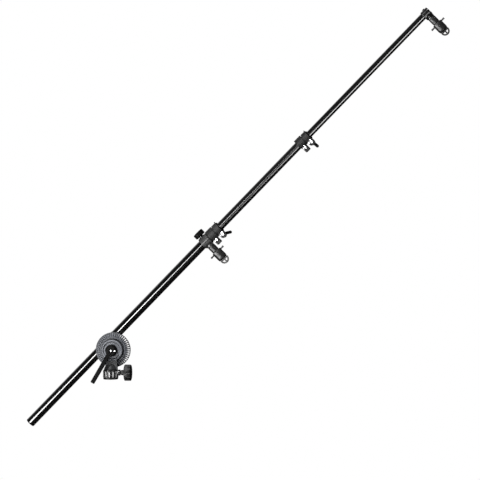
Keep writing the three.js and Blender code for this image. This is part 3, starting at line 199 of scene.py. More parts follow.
# name, direction, distance, width, length, watts
SOFTBOXES = (
    ("key_light", (-0.45, -1.0, 1.1), 3.4, 0.5, 0.5, 130),
    ("left_light", (-1.3, -1.0, -0.5), 3.4, 1.0, 1.0, 20),
    ("clip_light", (-0.85, -1.0, -0.55), 3.0, 2.2, 1.6, 130),
    ("back_light", (0.3, 1.0, 0.5), 3.4, 1.5, 1.5, 70),
    ("right_light", (0.75, -0.62, -0.3), 3.2, 1.0, 1.4, 18),
)
for settings in LINE_LIGHTS:
    add_line_light(*settings)
for name, direction, *settings in SOFTBOXES:
    add_softbox(name, LOOK_AT, Vector(direction), *settings, arm_up)
bpy.data.objects["clip_light"].visible_diffuse = False
bpy.data.objects["back_light"].visible_glossy = False
bpy.ops.object.light_add(type="SUN", location=(0, 0, 3))
sun = bpy.context.object
sun.data.energy = 1.1
sun.data.angle = math.radians(12)
sun.rotation_euler = (math.radians(14), math.radians(-18), 0)

# %% [markdown]
# ## Shader maths
#
# A finish is a sum of patterns, and `grain * 0.3 + 0.5` adds the Math nodes that it needs.
# Colours are mixed with a Mix node, because a Math node would turn them grey.


# %% Shader helpers
class Value:
    """A number that varies over a surface, held as a node's output."""

    def __init__(self, finish, socket):
        self.finish = finish
        self.socket = socket

    def __add__(self, other):
        return self.finish.maths("ADD", self, other)

    def __mul__(self, other):
        return self.finish.maths("MULTIPLY", self, other)

    def __sub__(self, other):
        return self.finish.maths("SUBTRACT", self, other)

    def __rsub__(self, other):
        return self.finish.maths("SUBTRACT", other, self)

    __radd__ = __add__
    __rmul__ = __mul__


class Nodes:
    """A node tree with one way to add nodes to it."""

    def __init__(self, tree):
        self.tree = tree

    def add(self, kind, settings=None, inputs=None, output=0):
        """Adds a node: its settings first, then its values and links."""
        node = self.tree.nodes.new(kind)
        for name, setting in (settings or {}).items():
            setattr(node, name, setting)
        for name, value in (inputs or {}).items():
            self.feed(node.inputs[name], value)
        return Value(self, node.outputs[output])

    def feed(self, socket, value):
        if isinstance(value, Value):
            self.tree.links.new(value.socket, socket)
        else:
            socket.default_value = value

    def between(self, value, low, high):
        """Spreads a band of a pattern over zero to one."""
        return self.add("ShaderNodeMapRange", {}, {
            "Value": value, "From Min": low, "From Max": high})

    def maths(self, operation, *numbers):
        return self.add("ShaderNodeMath", {"operation": operation}, dict(enumerate(numbers)))

    def vectors(self, operation, first, second=(0, 0, 0), output="Vector"):
        return self.add("ShaderNodeVectorMath", {"operation": operation},
                        {0: first, 1: second}, output)

    def length(self, vector):
        return self.vectors("LENGTH", vector, output="Value")

    def part(self, vector, letter):
        """One coordinate of a vector: X, Y or Z."""
        return self.add("ShaderNodeSeparateXYZ", {}, {"Vector": vector}, letter)


class Finish(Nodes):
    """A material that is built up from patterns on Object coordinates."""

    def __init__(self, name):
        self.material = bpy.data.materials.new(name)
        self.material.use_nodes = True
        super().__init__(self.material.node_tree)
        self.shader = self.tree.nodes["Principled BSDF"]
        self.place = self.add("ShaderNodeTexCoord", output="Object")

    def set(self, **sockets):
        for name, value in sockets.items():
            self.feed(self.shader.inputs[name.replace("_", " ")], value)

    def noise(self, scale, detail=3, roughness=0.55, place=None):
        inputs = {"Vector": place or self.place, "Scale": scale, "Detail": detail,
                  "Roughness": roughness}
        return self.add("ShaderNodeTexNoise", {}, inputs)

    def stretch(self, turn, scale):
        """Coordinates turned about Y and then scaled, for streaks along a piece."""
        turned_place = self.add("ShaderNodeMapping", {}, {
            "Vector": self.place, "Rotation": (0, turn, 0)})
        return self.add("ShaderNodeMapping", {}, {"Vector": turned_place, "Scale": scale})

    def mix(self, factor, first, second):
        keys = {0: factor, 6: first, 7: second}
        return self.add("ShaderNodeMix", {"data_type": "RGBA"}, keys, output=2)

    def bump(self, height, strength, depth):
        normal = self.add("ShaderNodeBump", {}, {
            "Height": height, "Strength": strength, "Distance": depth})
        self.set(Normal=normal)


def grey(level, blue=0.0):
    """A grey as a node wants it, with a little blue where blue is above zero."""
    return (level, level * (1 + 0.3 * blue), level * (1 + blue), 1)


# %% [markdown]
# ## Finishes
#
# Cast metal has a light mottle, pale rubbed edges and painted shade in its corners. Its
# socket is black, with bare crests on its ribs that are also painted pale as a highlight.
# The disc's ribs have a painted highlight on their right side and painted shade between
# them, and the hub's side wall and the neck have painted shade. Moulded plastic has a fine
# leathery grain, and painted shade darkens the collars' grooves. The tubes are black under
# a clear coat, with faint drawing lines along them. Plated steel is bright and brushed.
# Where a finish changes, a mask fades between two places, which are kept as pairs of metres.


# %% Places on the castings
BLACK_TOP = (0.0252, 0.0238)
RIB_CREST, RIB_OUTSIDE = (0.0176, 0.0181), (0.0189, 0.0185)
RIB_FOOT, RIB_TOP = (0.005, 0.008), (0.02, 0.017)
# Where painted shade starts behind the hub's face and below the neck's top.
FACE_DEPTH, NECK_TOP = (-0.007, -0.0064), (0.0455, 0.0435)
# Where the ribs at the right of the disc get a painted highlight.
HIGHLIGHT_START, HIGHLIGHT_END, HIGHLIGHT_SIDE = (0.0345, 0.0365), (0.0402, 0.0397), (0.012, 0.03)
# Where painted shade lies between the disc's ribs, fainter on the left.
GROOVES_START, GROOVES_SIDE = (0.0315, 0.0325), (-0.01, 0.025)
WAVE_CREST = (-0.2, 0.5)
FAINT = 0.3


def on_socket(finish):
    """One on the socket at the head's foot, zero above it."""
    return finish.between(finish.part(finish.place, "Z"), *BLACK_TOP)


def bare_rib_crests_and_highlight(finish):
    """One on the socket's rib crests, bare metal and a painted highlight, zero between them."""
    radius = finish.length(finish.vectors("MULTIPLY", finish.place, (1, 1, 0)))
    height = finish.part(finish.place, "Z")
    crest = finish.between(radius, *RIB_CREST) * finish.between(radius, *RIB_OUTSIDE)
    return crest * finish.between(height, *RIB_FOOT) * finish.between(height, *RIB_TOP)


def shade_behind_hub_face(finish):
    """One on the hub's side wall and the neck, for painted shade, zero on the face and ring."""
    below = finish.between(finish.part(finish.place, "Z"), *NECK_TOP)
    behind = finish.between(finish.part(finish.place, "Y"), *FACE_DEPTH)
    return finish.maths("MAXIMUM", below, behind)


def around_pivot(finish):
    """Three values on the disc: the radius, the place across, and one on each rib."""
    from_pivot = finish.vectors("SUBTRACT", finish.place, at_pivot.translation)
    flat = finish.vectors("MULTIPLY", from_pivot, (1, 0, 1))
    across = finish.part(flat, "X")
    height = finish.part(flat, "Z")
    turn = finish.maths("ARCTAN2", height, across) - ARM_TILT
    wave = finish.maths("COSINE", turn * DISC_RIBS)
    return finish.length(flat), across, finish.between(wave, *WAVE_CREST)


def disc_rib_highlight(finish):
    """One on the ribs at the right of the disc, for a painted highlight, zero elsewhere."""
    radius, across, crest = around_pivot(finish)
    band = finish.between(radius, *HIGHLIGHT_START) * finish.between(radius, *HIGHLIGHT_END)
    return band * finish.between(across, *HIGHLIGHT_SIDE) * crest


def shade_between_disc_ribs(finish):
    """One in the grooves between the disc's ribs, for painted shade, fainter on the left."""
    radius, across, crest = around_pivot(finish)
    side = finish.between(across, *GROOVES_SIDE) * (1 - FAINT) + FAINT
    return finish.between(radius, *GROOVES_START) * side * (1 - crest)


# %% Castings and mouldings
# Pointiness at which edges look rubbed, and at which corners get painted shade.
RUBBED_EDGE, SHADE_CORNER = (0.51, 0.56), (0.49, 0.43)
BARE_AND_HIGHLIGHT_LEVEL = 0.37
GROOVE_FADE = 0.0005


def cast_metal(name, level, blue, paint_and_highlight_place, paint_and_highlight_level, paint_and_highlight_roughness, painted_shade_place,
               bare_and_highlight_place):
    """Painted cast metal with a coarse skin.

    It is smooth and of another grey in one place: black paint on the socket, a painted
    highlight on the disc's ribs. It has painted shade in its corners and in a second place,
    and is pale in a third, as bare metal with a painted highlight.
    """
    finish = Finish(name)
    paint_and_highlight = paint_and_highlight_place(finish)
    mottle = finish.noise(70, 5, 0.6)
    speck = finish.between(finish.noise(900, 2), 0.4, 0.7)
    pointed = finish.add("ShaderNodeNewGeometry", output="Pointiness")
    paint = finish.mix(mottle, grey(level * 0.85, blue), grey(level * 1.15, blue))
    speckled = finish.mix(speck * 0.15, paint, grey(level * 1.5, blue))
    rubbed = finish.mix(finish.between(pointed, *RUBBED_EDGE) * 0.6, speckled,
                        grey(level * 3, blue))
    # Painted shade in concave corners, found by pointiness.
    corner_shade = finish.mix(finish.between(pointed, *SHADE_CORNER) * 0.7, rubbed,
                       grey(level * 0.25))
    # Painted shade in a second place: the hub's side wall and neck, or between the disc's ribs.
    shaded = finish.mix(painted_shade_place(finish) * 0.93, corner_shade, grey(level * 0.1))
    # The socket's black paint, and the painted highlight on the disc's right ribs.
    smooth = finish.mix(paint_and_highlight, shaded, grey(paint_and_highlight_level))
    # The rib crests are pale, as bare metal and as a painted highlight.
    finish.set(Base_Color=finish.mix(bare_and_highlight_place(finish), smooth, grey(BARE_AND_HIGHLIGHT_LEVEL)),
               Metallic=paint_and_highlight * 0.2 + 0.05, Specular_IOR_Level=0.25,
               Roughness=(1 - paint_and_highlight) * (mottle * 0.15 + 0.42) + paint_and_highlight * paint_and_highlight_roughness)
    skin = finish.noise(700, 4, 0.7) + finish.noise(160, 2) * 0.6
    finish.bump(skin * (1 - paint_and_highlight * 0.9), 0.2, 0.0002)
    return finish.material


def shade_in_grooves(finish, skin_radius):
    """One in the grooves of a sleeve round the arm, for painted shade, zero on its skin."""
    from_axis = finish.vectors("SUBTRACT", finish.place, at_arm.translation)
    radius = finish.length(finish.vectors("CROSS_PRODUCT", from_axis, arm_along))
    return finish.between(radius, skin_radius, skin_radius - GROOVE_FADE)


def moulded_plastic(name, level, roughness, grain, sheen=0.5, skin_radius=0):
    """Plastic with a leathery grain of a depth in metres, and painted shade in grooves under its
    skin.
    """
    finish = Finish(name)
    cloud = finish.noise(60, 4)
    leather = finish.add("ShaderNodeTexVoronoi", {}, {"Vector": finish.place, "Scale": 1500})
    colour = finish.mix(cloud, grey(level * 0.7), grey(level * 1.3))
    scuff = finish.between(finish.noise(35, 6, 0.7), 0.62, 0.8)
    colour = finish.mix(scuff * 0.25, colour, grey(level * 1.8))
    if skin_radius:
        # Painted shade in the grooves and seams.
        colour = finish.mix(shade_in_grooves(finish, skin_radius), colour, grey(0.002))
    finish.set(Base_Color=colour, Roughness=cloud * 0.14 + roughness, Specular_IOR_Level=sheen)
    finish.bump(leather + finish.noise(2600, 2) * 0.5, 0.3, grain)
    return finish.material


# %% Finishes of the head, the mouldings and the pads
# The head gets painted shade behind its hub face and pale rib crests that are also a painted
# highlight. The disc gets a painted highlight on its right ribs and painted shade between them.
HEAD_METAL = cast_metal("cast_grey_head", 0.16, 0.16, on_socket, 0.02, 0.24,
                        shade_behind_hub_face, bare_rib_crests_and_highlight)
DISC_METAL = cast_metal("cast_grey_disc", 0.068, 0.18, disc_rib_highlight, 0.95, 0.34,
                        shade_between_disc_ribs, lambda finish: 0.0)
BLACK_PLASTIC = moulded_plastic("black_moulded_plastic", 0.002, 0.4, 0.00006, 0.06)
KNOB_PLASTIC = moulded_plastic("dark_knob_plastic", 0.005, 0.36, 0.00006, 0.3)
END_PLASTIC = moulded_plastic("glossy_end_plastic", 0.005, 0.12, 0.000005, 0.8)
COLLAR_1_PLASTIC = moulded_plastic("grey_collar_1_plastic", 0.018, 0.44, 0.00006, 0.3, 0.0125)
COLLAR_2_PLASTIC = moulded_plastic("grey_collar_2_plastic", 0.009, 0.44, 0.00006, 0.3, 0.011)
SLIDER_PLASTIC = moulded_plastic("grey_slider_plastic", 0.04, 0.24, 0.00002, 0.6)
CLIP_PLASTIC = moulded_plastic("dark_grey_clip_plastic", 0.014, 0.26, 0.00003)
LINER_PLASTIC = moulded_plastic("ivory_liner_plastic", 0.42, 0.35, 0.00003)
RUBBER = moulded_plastic("pad_rubber", 0.02, 0.6, 0.0001)
print("finishes of castings and mouldings:", len(bpy.data.materials))


# %% Finishes of tubes and steel
def lacquered_tube(name, coat_roughness):
    finish = Finish(name)
    along = finish.stretch(ARM_TILT, (3, 400, 400))
    drawing = finish.noise(1, 4, 0.6, place=along)
    finish.set(Base_Color=finish.mix(drawing, grey(0.002), grey(0.005)),
               Roughness=drawing * 0.1 + 0.4, Specular_IOR_Level=0,
               Coat_Weight=1.0, Coat_Roughness=coat_roughness, Coat_IOR=2.0)
    finish.bump(drawing, 0.008, 0.00002)
    return finish.material


def plated_steel(name, level, roughness):
    finish = Finish(name)
    streak = finish.noise(1, 4, 0.6, place=finish.stretch(0, (90, 2400, 2400)))
    stain = finish.noise(120, 4)
    colour = finish.mix(stain, grey(level * 0.85, 0.02), grey(level, 0.02))
    finish.set(Base_Color=colour, Metallic=1, Roughness=streak * 0.16 + roughness)
    finish.bump(streak, 0.08, 0.00005)
    return finish.material


GLOSS_TUBE = lacquered_tube("black_lacquered_tube", 0.1)
SATIN_TUBE = lacquered_tube("black_satin_tube", 0.16)
BRIGHT_STEEL = plated_steel("bright_plated_steel", 0.86, 0.12)
DARK_STEEL = plated_steel("blackened_steel", 0.07, 0.28)
print("finishes:", [m.name for m in bpy.data.materials])

# %% [markdown]
# ## Modelling helpers
#
# An operator acts on everything that is selected, so each helper first deselects all and
# then picks one piece, or some of its vertices by where they are.


# %% Selecting
def only(piece):
    bpy.ops.object.select_all(action="DESELECT")
    piece.select_set(True)
    bpy.context.view_layer.objects.active = piece


def edit(piece):
    only(piece)
    bpy.ops.object.mode_set(mode="EDIT")
    bpy.ops.mesh.select_all(action="DESELECT")


def done():
    bpy.ops.object.mode_set(mode="OBJECT")


def pick(piece, wanted):
    """Selects the vertices of a piece in edit mode that are wanted."""
    bpy.ops.mesh.select_mode(type="VERT")
    bpy.ops.mesh.select_all(action="DESELECT")
    mesh = bmesh.from_edit_mesh(piece.data)
    for vertex in mesh.verts:
        vertex.select_set(wanted(vertex))
    bmesh.update_edit_mesh(piece.data)


def close_seams(piece, gap=0.001):
    edit(piece)
    bpy.ops.mesh.select_all(action="SELECT")
    bpy.ops.mesh.remove_doubles(threshold=gap)
    bpy.ops.mesh.normals_make_consistent(inside=False)
    done()


# %% [markdown]
# ## Turned and squared blanks
#
# Knobs, bolts, tubes and sleeves are turned on a lathe, so their profile is drawn point by
# point and spun once round. Blocks start as a cube of the right size.


# %% Blanks
AXIS_TURNS = {
    "z": Matrix.Identity(4),
    "x": Matrix.Rotation(math.radians(90), 4, "Y"),
    "y": Matrix.Rotation(math.radians(-90), 4, "X"),
}


def turned(name, profile, axis="z", at=(0, 0, 0), steps=96):
    """Spins a profile of (radius, place) points round an axis."""
    bpy.ops.object.select_all(action="DESELECT")
    bpy.ops.mesh.primitive_plane_add(size=1)
    piece = bpy.context.object
    piece.name = name
    bpy.ops.object.mode_set(mode="EDIT")
    bpy.ops.mesh.select_all(action="SELECT")
    bpy.ops.mesh.merge(type="CENTER")
    radius, place = profile[0]
    bpy.ops.transform.translate(value=(radius, 0, place))
    for next_radius, next_place in profile[1:]:
        step = (next_radius - radius, 0, next_place - place)
        bpy.ops.mesh.extrude_vertices_move(TRANSFORM_OT_translate={"value": step})
        radius, place = next_radius, next_place
    bpy.ops.mesh.select_all(action="SELECT")
    bpy.ops.mesh.spin(steps=steps, angle=math.tau, center=(0, 0, 0), axis=(0, 0, 1))
    done()
    close_seams(piece)
    return carry(piece, Matrix.Translation(at) @ AXIS_TURNS[axis])


def rod(name, radius, start, end, axis="z", at=(0, 0, 0), steps=64, edge=0.0):
    """A bar with sloping edges. Corners that coincide are kept once."""
    corners = [(0, start), (radius - edge, start), (radius, start + edge),
               (radius, end - edge), (radius - edge, end), (0, end)]
    return turned(name, list(dict.fromkeys(corners)), axis, at, steps)


def ring(name, inner, outer, start, end, at=(0, 0, 0), steps=128):
    """A plain sleeve round the x axis."""
    return turned(name, [(inner, start), (outer, start), (outer, end), (inner, end),
                         (inner, start)], "x", at, steps)


def block(name, low, high):
    size = [b - a for a, b in zip(low, high)]
    middle = [(a + b) / 2 for a, b in zip(low, high)]
    bpy.ops.object.select_all(action="DESELECT")
    bpy.ops.mesh.primitive_cube_add(size=1, location=middle, scale=size)
    piece = bpy.context.object
    piece.name = name
    return carry(piece, Matrix.Identity(4))


def carry(piece, matrix):
    """Moves a piece by a matrix and puts the place into its mesh."""
    piece.matrix_world = matrix @ piece.matrix_world
    only(piece)
    bpy.ops.object.transform_apply(location=True, rotation=True, scale=True)
    return piece


# %% [markdown]
# ## Joining, cutting and rounding
#
# A casting or a moulding is several simple forms run together with soft corners. Here the
# forms are joined, and a voxel remesh melts them into one skin whose corners are then
# smoothed. Bores come last, so that they stay sharp, as a drill leaves them.


# %% Joining and cutting
def use(piece, kind, **settings):
    """Adds a modifier, sets it up and applies it."""
    only(piece)
    bpy.ops.object.modifier_add(type=kind)
    modifier = piece.modifiers[-1]
    for name, setting in settings.items():
        setattr(modifier, name, setting)
    bpy.ops.object.modifier_apply(modifier=modifier.name)
    return piece


def merged(piece, *others):
    """Puts several closed forms into one object, which keeps the name of the first."""
    only(piece)
    for other in others:
        other.select_set(True)
    bpy.ops.object.join()
    return piece


def combined(operation, piece, *others):
    """Joins, cuts or trims a piece with others, which are used up."""
    for other in others:
        use(piece, "BOOLEAN", operation=operation, solver="MANIFOLD", object=other)
        bpy.data.objects.remove(other)
    return piece


def cut(piece, *cutters):
    return combined("DIFFERENCE", piece, *cutters)


def joined(piece, *others):
    return combined("UNION", piece, *others)


def melted(piece, voxel, rounds):
    """Fuses the forms in a piece and rounds their corners."""
    only(piece)
    piece.data.remesh_voxel_size = voxel
    bpy.ops.object.voxel_remesh()
    return use(piece, "SMOOTH", factor=0.5, iterations=rounds)


def rounded(piece, width, segments=3, angle=30):
    """Rounds the sharp edges of a piece with few faces."""
    return use(piece, "BEVEL", width=width, segments=segments, limit_method="ANGLE",
               angle_limit=math.radians(angle), harden_normals=False)


def copy_of(piece, name):
    twin = piece.copy()
    twin.data = piece.data.copy()
    twin.name = name
    bpy.context.collection.objects.link(twin)
    return twin


def ring_of(piece, count, axis="Z", first=0.0):
    """Copies a piece evenly round an axis, each copy with its own mesh."""
    copies = []
    for i in range(count):
        turn = Matrix.Rotation(first + math.tau * i / count, 4, axis)
        copies.append(carry(copy_of(piece, f"{piece.name}_{i}"), turn))
    bpy.data.objects.remove(piece)
    return merged(*copies)


# %% [markdown]
# ## Handing a piece over
#
# A finished piece is smoothed where its faces meet at a small angle, carried to its real
# place, given its finish, and told which body it moves with. The measured piece that it
# stands for is hidden.


# %% Handing over
def hand_over(piece, place, body, slot, finish, *nodes, smooth=32):
    only(piece)
    bpy.ops.object.shade_smooth_by_angle(angle=math.radians(smooth))
    carry(piece, place)
    piece.data.materials.clear()
    piece.data.materials.append(finish)
    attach(piece, body)
    if nodes:
        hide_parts(*nodes)
    print(piece.name, "faces:", len(piece.data.polygons))
    return piece

# %% [markdown]
# ## The socket head
#
# The front half of the grip head is one casting: a ribbed socket for a stud, a short neck,
# and the hub that the arm tilts on, with a raised ring round it. Its corners are soft, so
# the forms are melted together. The bores are drilled afterwards.

# %% Socket head
HUB_RADIUS = 24.5
HUB_FACE = -7
HUB_BACK = 4
SOCKET_RADIUS = 17.5
SOCKET_HEIGHT = 23
SOCKET_RIBS = 12
screw_at = (0, 0, 16)
pivot = (PIVOT_OFFSET, 0, PIVOT_HEIGHT)

hub = turned("head_casting", [
    (0, HUB_FACE), (19.6, HUB_FACE), (20.3, -8.4), (21.3, -9.9), (22.6, -9.9), (24, -8.8),
    (HUB_RADIUS, -7.4), (HUB_RADIUS, 3.4), (23.9, HUB_BACK), (0, HUB_BACK),
], "y", pivot)
neck = block("neck", (PIVOT_OFFSET - 11.7, HUB_FACE + 0.4, SOCKET_HEIGHT - 4),
             (PIVOT_OFFSET + 11.7, HUB_BACK, PIVOT_HEIGHT))
shoulder = turned("shoulder", [
    (0, 16), (16.2, 16), (16.4, 22), (15.7, 25), (14, 29), (12.2, 32.4), (10.8, 34.8), (0, 34.8),
])
barrel = turned("barrel", [
    (0, 0.3), (15.8, 0.3), (17, 0.9), (SOCKET_RADIUS, 1.8), (SOCKET_RADIUS, 3), (16, 3.8),
    (15.2, 5), (15.2, 19.6), (15.8, 21.4), (16.4, 22.6), (14.3, 24.5), (0, 24.5),
])
rib = rod("rib", 2.4, 3.2, 21.8, at=(15.9, 0, 0), steps=24, edge=1.4)
ribs = ring_of(rib, SOCKET_RIBS)
screw_boss = rod("screw_boss", 7, 8, 23.3, "x", screw_at, edge=0.8)
head = melted(merged(hub, neck, shoulder, barrel, ribs, screw_boss), 0.45, 4)
disc_room = rod("disc_room", 41.6, HUB_BACK, 15.2, "y", pivot, steps=128)
stud_bore = turned("stud_bore", [
    (0, -2), (10, -2), (8.2, 0.9), (8.2, 31), (5, 32.2), (0, 32.2),
])
screw_bore = rod("screw_bore", 4.3, 4, 26, "x", screw_at)
pad_room = rod("pad_room", 5.3, 2, 15.2, "x", screw_at)
bolt_bore = rod("bolt_bore", 4.3, -12, 6, "y", pivot)
spring_room = rod("spring_room", 7.8, -1, 6, "y", pivot)
cut(head, disc_room, stud_bore, screw_bore, pad_room, bolt_bore, spring_room)
hand_over(head, at_socket, "socket", "cast_grey", HEAD_METAL, "socket_head", smooth=50)

# %% [markdown]
# ## Hand knobs
#
# Both knobs are turned from plastic, with grooves round the rim for the fingers. The
# grooves are one round cutter copied in a ring, and the edges that it leaves are rounded.


# %% Knob shape
def knob(name, radius, thickness, skirt, skirt_radius, grooves, bore):
    body = turned(name, [
        (bore, -skirt), (skirt_radius - 0.5, -skirt), (skirt_radius, -skirt + 0.5),
        (skirt_radius + 0.4, -skirt * 0.3), (radius - 6, -0.1), (radius - 1.6, 0),
        (radius - 0.4, 0.5), (radius, 1.4), (radius, thickness - 1.9),
        (radius - 0.5, thickness - 1.1), (radius - 1.6, thickness - 0.7),
        (radius * 0.62, thickness - 0.7), (radius * 0.58, thickness - 1.3),
        (radius * 0.5, thickness - 1.5), (radius * 0.25, thickness - 0.4), (0, thickness - 0.1),
        (0, thickness * 0.6), (bore, thickness * 0.6), (bore, -skirt),
    ], "x", steps=144)
    groove = rod("groove", 1.75, -3, thickness + 3, "x", (0, 0, radius + 0.35), steps=24)
    cut(body, ring_of(groove, grooves, "X"))
    return rounded(body, 0.4, 2, 40)


def threaded(name, radius, start, end, pitch, axis="z", at=(0, 0, 0)):
    """A bar whose profile runs in and out like a thread's crests."""
    profile = [(0, start), (radius - 0.5, start)]
    place = start
    while place + pitch < end:
        profile += [(radius - 0.45, place), (radius, place + 0.35 * pitch),
                    (radius, place + 0.5 * pitch), (radius - 0.45, place + 0.85 * pitch)]
        place += pitch
    return turned(name, profile + [(radius - 0.5, end), (0, end)], axis, at, steps=48)


socket_knob = knob("socket_knob_grip", 19, 16, 8, 6, 12, 4.3)
carry(socket_knob, Matrix.Translation(screw_at) @ Matrix.Translation((33, 0, 0)))
hand_over(socket_knob, at_socket, "socket_knob", "black_plastic", KNOB_PLASTIC,
          "socket_clamp_knob")
socket_screw = threaded("socket_screw_thread", 4, 11.5, 42.3, 1.25, "x", screw_at)
hand_over(socket_screw, at_socket, "socket_knob", "steel", DARK_STEEL, "socket_clamp_screw")

# %% [markdown]
# ## The clamp disc
#
# Behind the hub lies a large disc with a band of radial ribs at its rim, which the fingers
# turn. A split ring on its back holds the thick tube. Disc and ring are melted together,
# the ribs are joined on afterwards to stay crisp, and a cone slopes their fronts. The dark
# groove round the hub, the slit and the bores are cut last.

# %% Clamp disc
DISC_RADIUS = 41
DISC_BACK = 14.9
JAW_HALF = 26
tube_axis = (0, TUBE_Y, TUBE_OFFSET)
disc = turned("disc_casting", [
    (0, 4.3), (30.2, 4.3), (31, 5.6), (31.6, 6.5), (38.8, 6.5), (40.4, 7.2), (DISC_RADIUS, 8.4),
    (DISC_RADIUS, 12.8), (40.2, 14.2), (38.8, DISC_BACK), (0, DISC_BACK),
], "y", steps=128)
disc_rib = rounded(block("disc_rib", (31, 4.7, -1.2), (40.2, 9, 1.2)), 0.45, 2)
disc_ribs = cut(ring_of(disc_rib, DISC_RIBS, "Y"), turned("rim_cone", [
    (35.4, 4.5), (43, 4.5), (43, 9.3), (35.4, 4.5),
], "y", steps=128))
saddle = rod("saddle", 15, -JAW_HALF, JAW_HALF, "x", tube_axis, steps=96)
bridge = block("bridge", (-JAW_HALF, 12.9, 7.6), (JAW_HALF, TUBE_Y, 37.3))
ears = block("ears", (-JAW_HALF, 12.9, -12.9), (JAW_HALF, 40.2, 11))
outline = rod("outline", 40.2, 12.9, 60, "y", steps=128)
jaw = merged(melted(saddle, 0.8, 0), bridge, ears)
jaw = melted(jaw, 0.7, 0)
combined("INTERSECT", jaw, outline)
clamp = joined(melted(merged(disc, jaw), 0.55, 3), disc_ribs)
cut(clamp,
    turned("hub_groove", [(24.2, 3), (27, 3), (26.6, 8), (24.6, 8), (24.2, 3)], "y", steps=128),
    rod("tube_room", 12.6, -30, 30, "x", tube_axis, steps=128),
    block("slit", (-30, 30.7, -20), (30, 32.3, TUBE_OFFSET)),
    rod("clamp_bolt_bore", 4.3, 2, 45, "y"),
    rod("clamp_spring_room", 7.8, 2, 9.3, "y"))
hand_over(clamp, at_tilt, "tilting_half", "cast_grey", DISC_METAL, "clamp_disc", smooth=50)
clamp_lining = ring("tube_lining", 11.3, 12.3, -23.5, 23.5, at=tube_axis)
cut(clamp_lining, block("lining_slot", (-30, 30, -2), (30, 33, TUBE_OFFSET)))
hand_over(clamp_lining, at_tilt, "clamp_liner", "liner_plastic", LINER_PLASTIC, "clamp_liner")

# %% [markdown]
# ## Tilt bolt and tilt lever
#
# One bolt runs through hub, disc and ring. Its square head sits behind the ring, and a
# long lever on its front end squeezes everything together. The lever bar starts as a
# block that leans outwards, and it is melted onto its round boss.

# %% Tilt lever
LEVER_HANG = math.radians(60)
LEVER_REACH = 86.8
at_lever = at_pivot @ Matrix.Rotation(math.pi - LEVER_HANG, 4, "Y")
boss = turned("tilt_lever_grip", [
    (0, -9.3), (13.3, -9.3), (13.9, -9.9), (13.9, -19.2), (13.2, -21.4), (11.4, -22.9),
    (9.6, -23.2), (0, -23.2),
], "y")
bar = block("bar", (2, -23, -5.2), (LEVER_REACH, -16.4, 5.2))
edit(bar)
pick(bar, lambda v: v.co.x > 50)
bpy.ops.transform.translate(value=(0, -8.8, 0))
bpy.ops.transform.resize(value=(1, 1, 0.94), center_override=(LEVER_REACH, 0, 0))
done()
rounded(bar, 1.7, 3)
grip = melted(merged(boss, bar), 0.42, 3)
cut(grip, rod("lever_bolt_room", 4.3, -16.5, -5, "y"),
    rod("cap_shank_room", 2.8, -26, -9, "y"), rod("cap_room", 4.9, -26, -18.5, "y"))
hand_over(grip, at_lever, "lever", "black_plastic", BLACK_PLASTIC, "tilt_lever", smooth=50)

cap_screw = turned("tilt_lever_cap_screw", [
    (0, -20.9), (1.2, -21.3), (3, -22.5), (3.4, -22.7), (3.9, -22.4), (4.4, -21.5),
    (4.4, -18.9), (2.5, -18.8), (2.5, -12.3), (0, -12.2),
], "y", steps=64)
hand_over(cap_screw, at_lever, "lever", "steel", DARK_STEEL, "tilt_lever_screw")
lever_pins = merged(rod("tilt_lever_pins", 1.4, -23.2, -20, "y", edge=0.3),
                    rod("side_pin", 1.2, -23.7, -21.5, "y", (-3.5, 0, 8), edge=0.3))
hand_over(lever_pins, at_lever, "lever", "steel", BRIGHT_STEEL)

washer = turned("tilt_washer_ring", [
    (4.3, -8.9), (9.7, -8.9), (10, -8.6), (10, -7.6), (9.7, -7.3), (4.3, -7.3), (4.3, -8.9),
], "y")
hand_over(washer, at_pivot, "washer", "steel", BRIGHT_STEEL, "tilt_washer")

# %% Tilt bolt
square_head = rounded(block("tilt_bolt_square", (-6.5, 40.6, -6.5), (6.5, 46.1, 6.5)), 0.7)
shank = threaded("shank", 4, -16.2, 42, 1.25, "y")
tilt_bolt = cut(joined(square_head, shank), rod("tapped_hole", 2.8, -20, -11.9, "y"))
hand_over(tilt_bolt, at_tilt, "tilting_half", "dark_steel", DARK_STEEL, "tilt_bolt")

# %% [markdown]
# ## The three tubes
#
# Each tube is turned with its real wall and a small round on both ends, because the ends
# show where the plug and the locks stop.


# %% Tubes
def tube(name, radius, wall, start, end, body, finish, node):
    piece = turned(name, [
        (radius - wall, start), (radius - 0.3, start), (radius, start + 0.3),
        (radius, end - 0.3), (radius - 0.3, end), (radius - wall, end),
        (radius - wall, start),
    ], "x", steps=128)
    hand_over(piece, at_arm, body, "black_tube", finish, node)


tube("thick_tube_wall", THICK_RADIUS, 1.1, 0, 628, "thick_tube", GLOSS_TUBE, "tube_1")
tube("middle_tube_wall", MIDDLE_RADIUS, 1.1, 329, 929, "middle_tube", SATIN_TUBE, "tube_2")
tube("thin_tube_wall", THIN_RADIUS, 1, 756, 1346, "thin_tube", GLOSS_TUBE, "tube_3")
plug = turned("thick_tube_plug", [
    (0, -2.4), (6, -2.4), (6.4, -2), (7, -2), (7.4, -2.5), (9.3, -2.5), (10.4, -1.9),
    (11, -1.1), (11, -0.3), (9.6, -0.3), (9.6, 13.4), (9, 14), (8.5, 14), (8.5, 0), (0, 0),
], "x", steps=96)
hand_over(plug, at_arm, "thick_tube", "black_plastic", BLACK_PLASTIC, "tube_1_plug")

# %% [markdown]
# ## Section locks
#
# A split collar grips the outer tube with one bolt and closes on the inner tube with
# another, which the lever behind it tightens. Both locks have one shape and differ only in
# the size of their tubes, so one function makes them. A ridged spine runs along the back
# of the collar and ends in a small tab.


# %% Lock collar
GRIP_BOLT, LEVER_BOLT = 9, 28
BOLT_DROP = 5.4


